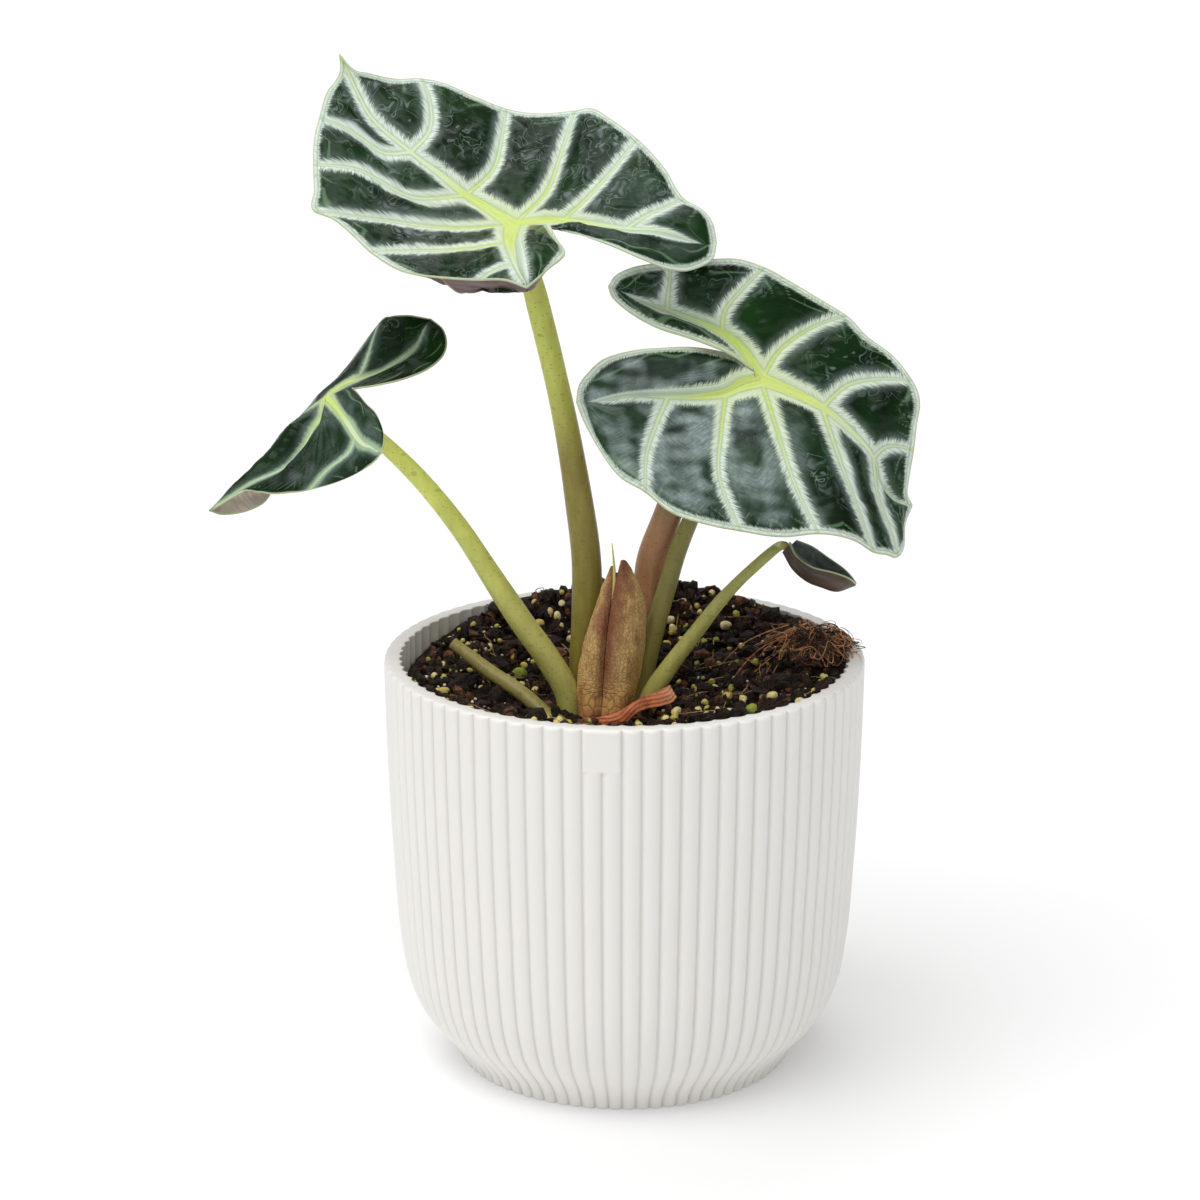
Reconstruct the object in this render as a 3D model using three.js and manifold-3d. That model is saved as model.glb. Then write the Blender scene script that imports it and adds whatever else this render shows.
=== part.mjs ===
// A potted alocasia: ribbed pot, potting mix, stem base, stalks, leaves, bud sheaths, grit and coir.
// Millimetres, +Z up. The origin is where the pot's axis meets the surface that the pot stands on.
import * as THREE from "three";
import { mergeVertices } from "three/addons/utils/BufferGeometryUtils.js";
import Module from "manifold-3d";

const wasm = await Module();
wasm.setup();

// Driving dimensions of the pot
const RIM_RADIUS = 70;
const POT_HEIGHT = 122.3;
const FOOT_RADIUS = 49.3;
const RIB_COUNT = 78;
const RIB_DEPTH = 1.3;
const WALL = 4.6;
const FLOOR = 5;
const BAND_HEIGHT = 1.4;
const EDGE = 0.4;
const TAB_HEIGHT = 12.5;
const TAB_AZIMUTH = -5.5;
// Driving dimensions of the plant
const BLADE = 0.8;
const SHEATH = 0.5;
const CORM_RADIUS = 14;
const CORM_HEIGHT = 24;
const CROWN = { x: -5.5, y: 0, z: 104.6 };
// The clearance between neighbouring pieces
const GAP = 0.3;

// The line of sight that the plant was measured along: it looks level with +Y and down by PITCH, from
// RANGE away, at the point AIM. A place is given as a column and a row of a 1200 by 1200 view and how far
// it stands towards the viewer from the upright plane through AIM, or how far back (+Y) it is.
const PITCH = THREE.MathUtils.degToRad(16.75);
const RANGE = 1100;
const AIM = { x: -7.1, z: 138.7 };
const VIEW_MIDDLE = 600;
const VIEW_SCALE = 3792;

const raise = Math.sin(PITCH);
const level = Math.cos(PITCH);

function seen(column, row, towards) {
  const share = (RANGE - towards) / VIEW_SCALE;
  const up = (VIEW_MIDDLE - row) * share;
  return new THREE.Vector3(
    AIM.x + (column - VIEW_MIDDLE) * share,
    up * raise - towards * level,
    AIM.z + up * level + towards * raise,
  );
}

function seenAtBack(column, row, back) {
  const rise = ((VIEW_MIDDLE - row) / VIEW_SCALE) * raise;
  return seen(column, row, (rise * RANGE - back) / (rise + level));
}

// A smooth curve through points at given knots: a cubic between each two, with the slope at a knot taken
// from its neighbours.
function smoothCurve(knots, points) {
  const last = knots.length - 1;
  const slope = (i) =>
    points[i + 1].clone().sub(points[i]).divideScalar(knots[i + 1] - knots[i]);
  const slopes = knots.slice(0, last).map((_, i) => slope(i));
  const tangents = points.map((_, i) => {
    if (i === 0) return slopes[0];
    if (i === last) return slopes[last - 1];
    const before = knots[i] - knots[i - 1];
    const after = knots[i + 1] - knots[i];
    return slopes[i - 1]
      .clone()
      .multiplyScalar(after)
      .addScaledVector(slopes[i], before)
      .divideScalar(before + after);
  });
  return (at) => {
    let i = 0;
    while (i < last - 1 && at > knots[i + 1]) i += 1;
    const width = knots[i + 1] - knots[i];
    const t = Math.min(Math.max((at - knots[i]) / width, 0), 1);
    return points[i]
      .clone()
      .multiplyScalar(1 - 3 * t * t + 2 * t * t * t)
      .addScaledVector(points[i + 1], 3 * t * t - 2 * t * t * t)
      .addScaledVector(tangents[i], width * t * (1 - t) * (1 - t))
      .addScaledVector(tangents[i + 1], width * t * t * (t - 1));
  };
}

// Solids
function solidOf(geometry) {
  const bare = geometry.clone();
  bare.deleteAttribute("normal");
  bare.deleteAttribute("uv");
  const merged = mergeVertices(bare, 1e-3);
  return new wasm.Manifold(
    new wasm.Mesh({
      numProp: 3,
      vertProperties: merged.attributes.position.array,
      triVerts: new Uint32Array(merged.index.array),
    }),
  );
}

function geometryOf(solid) {
  const mesh = solid.getMesh();
  return new THREE.BufferGeometry()
    .setAttribute("position", new THREE.BufferAttribute(new Float32Array(mesh.vertProperties), 3))
    .setIndex(new THREE.BufferAttribute(new Uint32Array(mesh.triVerts), 1));
}

// A closed body from rings of equally many points, from the lowest ring to the highest, with a flat fan
// at each end. Points run anticlockwise as seen from above.
function ringBody(rings) {
  const sides = rings[0].length;
  const middle = (ring) =>
    ring.reduce((sum, p) => sum.add(p), new THREE.Vector3()).divideScalar(sides);
  const points = [middle(rings[0]), ...rings.flat(), middle(rings.at(-1))];
  const at = (ring, side) => 1 + ring * sides + (side % sides);
  const index = [];
  for (let s = 0; s < sides; s += 1) {
    index.push(0, at(0, s + 1), at(0, s));
    index.push(points.length - 1, at(rings.length - 1, s), at(rings.length - 1, s + 1));
    for (let r = 0; r + 1 < rings.length; r += 1) {
      index.push(at(r, s), at(r, s + 1), at(r + 1, s + 1));
      index.push(at(r, s), at(r + 1, s + 1), at(r + 1, s));
    }
  }
  return new THREE.BufferGeometry().setFromPoints(points).setIndex(index);
}

// A sheet of grid patches becomes a closed skin of even thickness. Each patch is rows of points, and
// where patches share points they are joined.
function thickened(patches, thickness) {
  const triangles = [];
  for (const { grid, turn } of patches) {
    for (let i = 0; i + 1 < grid.length; i += 1) {
      for (let j = 0; j + 1 < grid[i].length; j += 1) {
        const [a, b, c, d] = [grid[i][j], grid[i + 1][j], grid[i + 1][j + 1], grid[i][j + 1]];
        const faces = [[a, b, c], [a, c, d]];
        for (const face of faces) triangles.push(...(turn > 0 ? face : face.reverse()));
      }
    }
  }
  const sheet = mergeVertices(new THREE.BufferGeometry().setFromPoints(triangles), 1e-2);
  const faces = [];
  const old = sheet.index.array;
  for (let i = 0; i < old.length; i += 3) {
    const [a, b, c] = old.slice(i, i + 3);
    if (a !== b && b !== c && c !== a) faces.push([a, b, c]);
  }
  sheet.setIndex(faces.flat());
  sheet.computeVertexNormals();
  const { position, normal } = sheet.attributes;
  const count = position.count;
  const points = [];
  for (const side of [0.5, -0.5]) {
    for (let i = 0; i < count; i += 1) {
      const out = new THREE.Vector3().fromBufferAttribute(normal, i);
      points.push(
        new THREE.Vector3().fromBufferAttribute(position, i).addScaledVector(out, side * thickness),
      );
    }
  }
  const edges = new Set(faces.flatMap(([a, b, c]) => [`${a},${b}`, `${b},${c}`, `${c},${a}`]));
  const index = [];
  for (const [a, b, c] of faces) index.push(a, b, c, c + count, b + count, a + count);
  for (const edge of edges) {
    const [a, b] = edge.split(",").map(Number);
    if (!edges.has(`${b},${a}`)) index.push(a, a + count, b + count, a, b + count, b);
  }
  return new THREE.BufferGeometry().setFromPoints(points).setIndex(index);
}

// A round stalk: a closed cylinder bent onto a curve, thicker or thinner along its length.
function stalk(points, radii, sides = 10, steps = 16) {
  const path = new THREE.CatmullRomCurve3(points, false, "centripetal");
  const frames = path.computeFrenetFrames(steps);
  const body = new THREE.CylinderGeometry(1, 1, 1, sides, steps);
  const place = body.attributes.position;
  const bent = new THREE.Vector3();
  for (let i = 0; i < place.count; i += 1) {
    const t = THREE.MathUtils.clamp(place.getY(i) + 0.5, 0, 1);
    const step = Math.round(t * steps);
    const span = t * (radii.length - 1);
    const low = Math.min(Math.floor(span), radii.length - 2);
    const radius = THREE.MathUtils.lerp(radii[low], radii[low + 1], span - low);
    bent
      .copy(path.getPointAt(t))
      .addScaledVector(frames.normals[step], radius * place.getZ(i))
      .addScaledVector(frames.binormals[step], radius * place.getX(i));
    place.setXYZ(i, bent.x, bent.y, bent.z);
  }
  return body;
}

// Pot
const POT_SIDE = [
  [0, FOOT_RADIUS],
  [4.5, FOOT_RADIUS + 0.4],
  [7.5, FOOT_RADIUS + 1.2],
  [10, 53.5],
  [13, 58],
  [18, 61.4],
  [25, 64.2],
  [36, 66.1],
  [60, 67.9],
  [90, 69.3],
  [POT_HEIGHT, RIM_RADIUS],
];
const potSide = smoothCurve(
  POT_SIDE.map(([z]) => z),
  POT_SIDE.map(([z, radius]) => new THREE.Vector3(radius, 0, z)),
);

function ribShare(azimuth, z) {
  if (z > POT_HEIGHT - BAND_HEIGHT) return 0;
  const onTab = Math.abs(azimuth - TAB_AZIMUTH) < 360 / RIB_COUNT - 0.1;
  return onTab && z > POT_HEIGHT - TAB_HEIGHT ? 0 : 1;
}

function potOutside() {
  const levels = [
    ...POT_SIDE.slice(0, -1).map(([z]) => z),
    POT_HEIGHT - TAB_HEIGHT - 1,
    POT_HEIGHT - TAB_HEIGHT + 0.01,
    POT_HEIGHT - BAND_HEIGHT - 0.6,
    POT_HEIGHT - BAND_HEIGHT + 0.01,
    POT_HEIGHT - EDGE,
    POT_HEIGHT,
  ];
  return ringBody(
    levels.map((z) => {
      const radius = potSide(z).x - (z === POT_HEIGHT ? EDGE : 0);
      return Array.from({ length: 2 * RIB_COUNT }, (_, side) => {
        const turn = 90 + TAB_AZIMUTH - (side * 180) / RIB_COUNT;
        const azimuth = THREE.MathUtils.euclideanModulo(90 - turn + 180, 360) - 180;
        const groove = side % 2 === 0 ? RIB_DEPTH * ribShare(azimuth, z) : 0;
        const angle = THREE.MathUtils.degToRad(azimuth);
        const out = radius - groove;
        return new THREE.Vector3(out * Math.sin(angle), -out * Math.cos(angle), z);
      });
    }),
  );
}

// The hollow's outline from the middle of its floor up to where its wall is upright, grown by a distance
// that may be negative.
const UPRIGHT_FROM = 90;

function hollowOutline(grow) {
  const middle = new THREE.Vector2(0, FLOOR - grow);
  const steps = [
    [FOOT_RADIUS - 9, FLOOR - grow],
    [FOOT_RADIUS - 5.5, FLOOR + 2.5],
    [innerRadius(15) - 1.5, 15],
    ...[22, 36, 60].map((z) => [innerRadius(z), z]),
    [innerRadius(), UPRIGHT_FROM],
  ];
  return [middle, ...steps.map(([radius, z]) => new THREE.Vector2(radius + grow, z))];
}

function innerRadius(z = POT_HEIGHT) {
  return potSide(z).x - WALL - RIB_DEPTH / 2;
}

function potSolid() {
  const top = POT_HEIGHT + 1;
  const outline = [
    ...hollowOutline(0),
    new THREE.Vector2(innerRadius(), POT_HEIGHT - 1),
    new THREE.Vector2(innerRadius() + 0.3, top),
    new THREE.Vector2(0, top),
  ];
  const hollow = new THREE.LatheGeometry(outline, RIB_COUNT).rotateX(Math.PI / 2);
  return solidOf(potOutside()).subtract(solidOf(hollow));
}

// Potting mix: the height of its top. It is low at the crown, climbs to a set height at the wall all
// round, and has a heap at the back.
const CROWN_LEVEL = 104.2;
const WALL_LEVELS = [
  [-180, 123],
  [-140, 121.5],
  [-115, 117.5],
  [-90, 114],
  [-45, 110],
  [0, 109],
  [45, 112],
  [80, 118.5],
  [100, 119.5],
  [140, 121],
  [180, 123],
];
const HEAP = { x: 3, y: 52, height: 9, wide: 26, deep: 9 };
const wallLevel = smoothCurve(
  WALL_LEVELS.map(([azimuth]) => azimuth),
  WALL_LEVELS.map(([, z]) => new THREE.Vector3(0, 0, z)),
);

function mixHeight(x, y) {
  const azimuth = THREE.MathUtils.radToDeg(Math.atan2(x, -y));
  const share = Math.min(Math.hypot(x - CROWN.x, y) / innerRadius(), 1.1) ** 1.3;
  const climb = (wallLevel(azimuth).z - CROWN_LEVEL) * share;
  const across = ((x - HEAP.x) / HEAP.wide) ** 2;
  const along = ((y - HEAP.y) / HEAP.deep) ** 2;
  return CROWN_LEVEL + climb + HEAP.height * Math.exp(-across - along);
}

function mixSolid() {
  const side = hollowOutline(-GAP);
  const shares = [1, 0.93, 0.83, 0.7, 0.55, 0.4, 0.25, 0.1, 0];
  const outer = innerRadius() - GAP;
  const top = shares.map((share) => new THREE.Vector2(outer * share, CROWN_LEVEL));
  const firstTop = side.length;
  const body = new THREE.LatheGeometry([...side, ...top], 48);
  const place = body.attributes.position;
  body.rotateX(Math.PI / 2);
  for (let i = 0; i < place.count; i += 1) {
    const isTop = i % (side.length + top.length) >= firstTop;
    if (isTop) place.setZ(i, mixHeight(place.getX(i), place.getY(i)));
  }
  return solidOf(body);
}

// The point where the line of sight through a column and row meets the mix, found by halving the span of
// its depths.
function onMix(column, row) {
  let [near, far] = [-innerRadius(), innerRadius()];
  for (let i = 0; i < 30; i += 1) {
    const middle = (near + far) / 2;
    const p = seenAtBack(column, row, middle);
    if (p.z > mixHeight(p.x, p.y)) near = middle;
    else far = middle;
  }
  return seenAtBack(column, row, near);
}

// Leaves. A blade is two halves that share the midrib, from the tip (0) to the heart (3). Each half has a
// main side vein from the heart (3) to the end of its rear lobe (6), an outer part from the tip round to
// that end, and an inner part between the vein and the notch. A line of a part is a list of [station,
// column, row, towards]. The lines lie at the shares LINES of the way from the midrib or side vein to the
// margin.
const LINES = [0, 0.33, 0.7, 1];
const HEART = 3;
const LOBE = 6;
// Stations of a blade's points beside the ones at every half: they keep the tip narrow
const TIP_STATIONS = [0.12, 0.3];

function lineOf(points, nearness) {
  return smoothCurve(
    points.map(([station]) => station),
    points.map(([, column, row, towards]) => seen(column, row, towards + nearness)),
  );
}

function bladePatches(leaf) {
  const { nearness, turn } = leaf;
  const tip = leaf.midrib[0];
  const heart = leaf.midrib.at(-1);
  const midrib = lineOf(leaf.midrib, nearness);
  const stations = (from) => {
    const halves = Array.from({ length: (LOBE - from) * 2 + 1 }, (_, i) => from + i / 2);
    return from > 0 ? halves : [0, ...TIP_STATIONS, ...halves.slice(1)];
  };
  const shares = [0, 0.25, 0.5, 0.75, 1];
  const patch = (from, lines, sign) => ({
    turn: sign * turn,
    grid: stations(from).map((station) => {
      const across = smoothCurve(LINES, lines.map((line) => line(station)));
      return shares.map(across);
    }),
  });
  return leaf.halves.flatMap((half, side) => {
    const sign = side === 0 ? 1 : -1;
    const vein = lineOf([heart, ...half.vein], nearness);
    const base = (station) => (station <= HEART ? midrib(station) : vein(station));
    const outer = half.outer.map((line) => lineOf([tip, ...line], nearness));
    const inner = half.inner.map((line, i) =>
      lineOf([leaf.notch[i], ...line, half.outer[i].at(-1)], nearness),
    );
    return [patch(0, [base, ...outer], sign), patch(HEART, [vein, ...inner], -sign)];
  });
}

const CROWN_LEAF = {
  nearness: 27,
  turn: 1,
  midrib: [
    [0, 339, 53, -26],
    [0.12, 346, 68, -26],
    [0.35, 357, 92, -24],
    [0.65, 373, 120, -20.5],
    [1, 411, 153, -15.3],
    [2, 466, 196, -8],
    [HEART, 513, 226, 0],
  ],
  notch: [
    [HEART, 525, 226, 1],
    [HEART, 539, 225.5, 3],
    [HEART, 550, 225, 4],
  ],
  halves: [
    {
      vein: [
        [4, 562, 222, 3],
        [5, 627, 229, 8.5],
        [LOBE, 690, 240, 9.5],
      ],
      outer: [
        [
          [0.12, 348, 68, -26],
          [0.5, 376, 99, -24],
          [1, 429, 132, -18],
          [2, 492, 172, -13],
          [HEART, 545, 195, -5],
          [4, 586, 200, 0],
          [5, 645, 217, 7],
          [LOBE, 699, 243, 9],
        ],
        [
          [0.12, 350, 68.5, -26],
          [0.5, 383, 86, -27],
          [1, 430, 103, -23],
          [2, 502, 137, -21],
          [HEART, 562, 152, -13],
          [4, 615, 168, -5],
          [5, 666, 208, 5],
          [LOBE, 709, 245, 8.5],
        ],
        [
          [0.12, 353, 69, -26],
          [0.25, 370, 73, -27],
          [0.6, 395, 79, -28],
          [1, 422, 79, -28],
          [1.6, 475, 97, -28],
          [2, 506, 109, -27],
          [2.5, 540, 114, -24],
          [HEART, 575, 111, -20],
          [3.5, 605, 116, -15],
          [4, 637, 139, -10],
          [5, 684, 199, 2],
          [5.5, 710, 218, 7],
          [LOBE, 717, 243, 8],
        ],
      ],
      inner: [
        [
          [4, 577, 229, 7],
          [5, 641, 243, 12.5],
        ],
        [
          [4, 593, 237, 11],
          [5, 656, 257, 16],
        ],
        [
          [3.5, 572, 233, 8],
          [4, 605, 243, 14],
          [5, 668, 269, 17],
          [5.4, 692, 270, 14],
          [5.7, 712, 260, 10],
        ],
      ],
    },
    {
      vein: [
        [3.5, 511, 235, 8],
        [4, 510, 243, 15],
        [5, 515, 263, 32],
        [LOBE, 524, 281, 45],
      ],
      outer: [
        [
          [0.12, 344, 68.5, -26],
          [0.5, 352, 104, -23],
          [1, 383, 153, -16],
          [2, 413, 198, -8],
          [HEART, 452, 229, -1],
          [4, 465, 250, 9],
          [5, 490, 274, 28],
          [LOBE, 525, 284, 46.5],
        ],
        [
          [0.12, 342, 69, -26],
          [0.5, 337, 94, -25],
          [1, 347, 130, -19],
          [2, 356, 170, -10.5],
          [HEART, 377, 220, -3.5],
          [4, 407, 252, 5],
          [4.5, 432, 273, 13],
          [5, 462, 289, 26],
          [5.5, 492, 294, 37],
          [LOBE, 526, 289, 47],
        ],
        [
          [0.12, 340, 70, -26],
          [0.25, 336, 80, -26],
          [0.5, 328, 90, -25],
          [1, 319, 118, -20],
          [1.5, 314, 140, -16],
          [2, 313, 165, -12],
          [HEART, 314, 211, -4],
          [3.5, 342, 227, 0],
          [4, 370, 252, 5],
          [4.4, 395, 268, 12],
          [5, 443, 282, 30],
          [5.5, 486, 284, 41],
          [LOBE, 527, 287, 49],
        ],
      ],
      inner: [
        [
          [3.5, 525, 234, 9.5],
          [4, 528, 244, 17],
          [5, 527, 268, 33],
          [5.5, 526, 281, 41],
        ],
        [
          [3.5, 542, 235, 11],
          [4, 550, 248, 19.5],
          [5, 541, 276, 35],
          [5.5, 534, 289, 41.5],
        ],
        [
          [3.5, 556, 238, 12],
          [4, 565, 252, 21],
          [4.5, 561, 259, 29],
          [5, 549, 268, 38],
          [5.5, 541, 275, 44],
        ],
      ],
    },
  ],
};

const RIGHT_LEAF = {
  nearness: 30,
  turn: -1,
  midrib: [
    [0, 912, 506, -12],
    [0.25, 893, 500, -9],
    [0.6, 879, 482, -6],
    [1, 873, 458, -3],
    [2, 822, 408, 1.5],
    [HEART, 761, 380, 0],
  ],
  notch: [
    [HEART, 758, 376, 0.3],
    [HEART, 755, 372, 0.7],
    [HEART, 752, 369, 1],
  ],
  halves: [
    {
      vein: [
        [3.4, 744, 354, -2],
        [4, 722, 334, -3],
        [5, 667, 310, -2],
        [LOBE, 630, 296, 0],
      ],
      outer: [
        [
          [0.5, 893, 487, -8],
          [1, 883, 448, -5],
          [2, 846, 386, -2],
          [HEART, 780, 350, -1.5],
          [4, 725, 311, -1.5],
          [5, 668, 295, 0],
          [LOBE, 622, 292, 0],
        ],
        [
          [0.5, 902, 483, -9],
          [1, 898, 446, -6.5],
          [2, 880, 379, -4.5],
          [HEART, 815, 326, -3],
          [4, 744, 287, -1],
          [5, 670, 277, 1],
          [LOBE, 614, 288.5, 0],
        ],
        [
          [0.3, 907, 493, -11],
          [0.6, 910, 472, -9],
          [1, 914, 450, -7],
          [1.6, 920, 404, -6],
          [2, 912, 380, -6],
          [2.5, 877, 343, -5.5],
          [HEART, 846, 315, -4],
          [3.5, 799, 286, -2],
          [4, 764, 267, -1],
          [4.6, 713, 259, 1],
          [5, 668, 262, 2],
          [5.5, 628, 269, 2],
          [LOBE, 608, 286, 0],
        ],
      ],
      inner: [
        [
          [4, 719, 338, -1],
          [5, 661, 315, 0],
        ],
        [
          [4, 715, 342, 2],
          [5, 653, 319, 2.5],
        ],
        [
          [3.5, 735, 357, 2.5],
          [4, 711, 346, 4],
          [4.4, 686, 337, 5],
          [5, 645, 322, 4.5],
          [5.6, 613, 298, 2],
        ],
      ],
    },
    {
      vein: [
        [3.5, 742, 385, 0],
        [4, 726, 393, 0],
        [5, 668, 397, 1.5],
        [LOBE, 600, 401, 5],
      ],
      outer: [
        [
          [0.5, 892, 506, -7],
          [1, 876, 492, -3],
          [2, 839, 460, 3],
          [HEART, 775, 425, 4],
          [4, 721, 432, 4.5],
          [5, 656, 425, 5.5],
          [LOBE, 592, 402, 5.5],
        ],
        [
          [0.5, 899, 522, -6],
          [1, 889, 529, -1.5],
          [2, 856, 506, 5.5],
          [HEART, 796, 488, 9],
          [4, 720, 482, 11],
          [5, 646, 458, 11],
          [LOBE, 583, 402, 6],
        ],
        [
          [0.3, 905, 524, -8],
          [0.6, 904, 545, -4],
          [1, 898, 557, 0],
          [1.5, 878, 554, 4],
          [2, 864, 549, 6],
          [2.4, 849, 538, 9],
          [HEART, 818, 534, 12],
          [3.5, 780, 536, 14],
          [4, 740, 531, 16],
          [4.5, 690, 519, 17],
          [5, 645, 492, 16],
          [5.5, 605, 457, 12],
          [5.8, 585, 425, 8],
          [LOBE, 576, 402, 6],
        ],
      ],
      inner: [
        [
          [4, 715, 379, 1],
          [5, 655, 381, 3.5],
        ],
        [
          [4, 706, 362, 1.5],
          [5, 637, 364, 5.5],
        ],
        [
          [3.4, 735, 358, -0.5],
          [4, 697, 347, 1],
          [4.5, 660, 348, 4],
          [5, 620, 354, 6.5],
          [5.5, 587, 374, 7],
          [5.8, 578, 388, 6.5],
        ],
      ],
    },
  ],
};

const LEFT_LEAF = {
  nearness: 15,
  turn: -1,
  midrib: [
    [0, 209, 511, -2],
    [0.5, 250, 484, 2],
    [1, 284, 469, 4],
    [2, 316, 427, 3],
    [HEART, 326, 397, 0],
  ],
  notch: [
    [HEART, 335, 394, 0.5],
    [HEART, 344, 391, 1],
    [HEART, 353, 388, 1],
  ],
  halves: [
    {
      vein: [
        [3.5, 338, 410, 5],
        [4, 356, 436, 13],
        [5, 372, 448, 20],
        [LOBE, 378, 452, 23],
      ],
      outer: [
        [
          [0.5, 249, 487, 2.5],
          [1, 276, 477, 4.5],
          [2, 308, 447, 5],
          [HEART, 322, 430, 4],
          [4, 349, 453, 13],
          [5, 366, 458, 19.5],
          [LOBE, 380, 452.5, 23],
        ],
        [
          [0.5, 246, 490, 3],
          [1, 266, 486, 4.8],
          [2, 288, 478, 6.5],
          [HEART, 304, 472, 8],
          [4, 326, 472, 12.5],
          [5, 358, 469, 18.5],
          [LOBE, 381, 453, 23],
        ],
        [
          [0.5, 243, 490, 3],
          [1, 257, 492, 4.5],
          [2, 272, 494, 6.5],
          [HEART, 288, 493, 8.5],
          [4, 310, 490, 11],
          [4.6, 335, 483, 14],
          [5, 352, 476, 17],
          [5.5, 372, 464, 21],
          [LOBE, 382, 453, 23],
        ],
      ],
      inner: [
        [
          [4, 361, 425, 13],
          [5, 377, 441, 21],
        ],
        [
          [4, 365, 412, 12],
          [5, 381, 433, 20.5],
        ],
        [
          [3.5, 359, 394, 5],
          [4, 366, 403, 10],
          [4.5, 376, 413, 15],
          [5, 382, 427, 19],
          [5.5, 384.5, 440, 22],
        ],
      ],
    },
    {
      vein: [
        [3.5, 340, 386, -2],
        [4, 358, 380, -4],
        [5, 403, 358, -7],
        [LOBE, 424, 330, -8],
      ],
      outer: [
        [
          [0.5, 238, 484, 0],
          [1, 264, 462, 0],
          [2, 291, 427, 1],
          [HEART, 303, 415, 0],
          [3.5, 333, 388, -7],
          [4, 366, 362, -5],
          [5, 405, 343, -7.5],
          [LOBE, 426, 326, -8.3],
        ],
        [
          [0.5, 232, 498, -5],
          [1, 258, 482, -7],
          [2, 279, 448, -7],
          [HEART, 287, 434, -8],
          [3.5, 334, 387, -15],
          [4, 374, 338, -6],
          [5, 405, 326, -8],
          [LOBE, 429, 322, -8.6],
        ],
        [
          [0.3, 222, 515, -4],
          [0.6, 240, 513, -8],
          [1, 259, 506, -10],
          [1.5, 270, 494, -12],
          [2, 276, 474, -14],
          [HEART, 292, 442, -16],
          [3.5, 338, 380, -20],
          [4, 379, 324, -7],
          [4.5, 390, 317, -7],
          [5, 404, 315, -8],
          [LOBE, 431, 319, -9],
        ],
      ],
      inner: [
        [
          [4, 371, 380, -2.7],
          [5, 416, 358, -5],
        ],
        [
          [4, 386, 381, -1],
          [5, 431, 357, -3.5],
        ],
        [
          [3.4, 370, 386, 1],
          [4, 397, 381, 0.5],
          [4.5, 425, 371, -1],
          [5, 443, 356, -3],
          [5.5, 446, 337, -6],
        ],
      ],
    },
  ],
};

const BACK_LEAF = {
  nearness: -3.8,
  turn: 1,
  midrib: [
    [0, 782, 500, -22],
    [1, 765, 478, -13],
    [2, 745, 458, -6],
    [HEART, 722, 440, 0],
  ],
  notch: [
    [HEART, 720, 436, -0.3],
    [HEART, 718, 432, -0.7],
    [HEART, 716, 428, -1],
  ],
  halves: [
    {
      vein: [
        [4, 728, 418, -0.5],
        [5, 731, 402, -1.5],
        [LOBE, 732, 388, -2.5],
      ],
      outer: [
        [
          [0.5, 779, 486, -18],
          [1, 776, 468, -14],
          [2, 757, 444, -7.5],
          [HEART, 735, 428, -2],
          [4, 734, 412, -2],
          [5, 734, 396, -2.5],
          [LOBE, 731, 382, -3],
        ],
        [
          [0.5, 786, 484, -20],
          [1, 788, 464, -17],
          [2, 775, 436, -11],
          [HEART, 751, 413, -6],
          [4, 742, 398, -4],
          [5, 736, 385, -4],
          [LOBE, 730, 376, -3],
        ],
        [
          [0.5, 792, 483, -21],
          [1, 799, 461, -19],
          [2, 790, 428, -14],
          [HEART, 766, 400, -9],
          [4, 750, 385, -6],
          [5, 740, 375, -5],
          [LOBE, 729, 371, -3.5],
        ],
      ],
      inner: [
        [
          [4, 723, 417, -0.5],
          [5, 726, 400, -1.5],
        ],
        [
          [4, 719, 415, -1],
          [5, 720, 398, -2],
        ],
        [
          [4, 715, 412, -1.5],
          [5, 715, 394, -2.5],
          [5.6, 719, 378, -3],
        ],
      ],
    },
    {
      vein: [
        [4, 706, 433, 0.5],
        [5, 696, 428, 0.5],
        [LOBE, 686, 423, 0],
      ],
      outer: [
        [
          [0.5, 771, 497, -17],
          [1, 756, 486, -11],
          [2, 733, 472, -4],
          [HEART, 712, 454, 0.5],
          [4, 698, 440, 1],
          [5, 690, 431, 0.8],
          [LOBE, 683, 421, 0],
        ],
        [
          [0.5, 768, 503, -16],
          [1, 750, 500, -11],
          [2, 723, 489, -4],
          [HEART, 702, 471, 0],
          [4, 689, 449, 0.8],
          [5, 683, 433, 0.5],
          [LOBE, 680, 420, -0.3],
        ],
        [
          [0.5, 766, 507, -16.5],
          [1, 747, 508, -12],
          [2, 716, 500, -5],
          [HEART, 694, 482, -1],
          [4, 681, 457, 0],
          [5, 676, 436, 0],
          [LOBE, 677, 419, -0.5],
        ],
      ],
      inner: [
        [
          [4, 708, 429, 0],
          [5, 698, 424, 0],
        ],
        [
          [4, 710, 422, -0.5],
          [5, 699, 418, -0.5],
        ],
        [
          [4, 710, 417, -1],
          [5, 699, 412, -1],
          [5.6, 686, 411, -1],
        ],
      ],
    },
  ],
};

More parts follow.
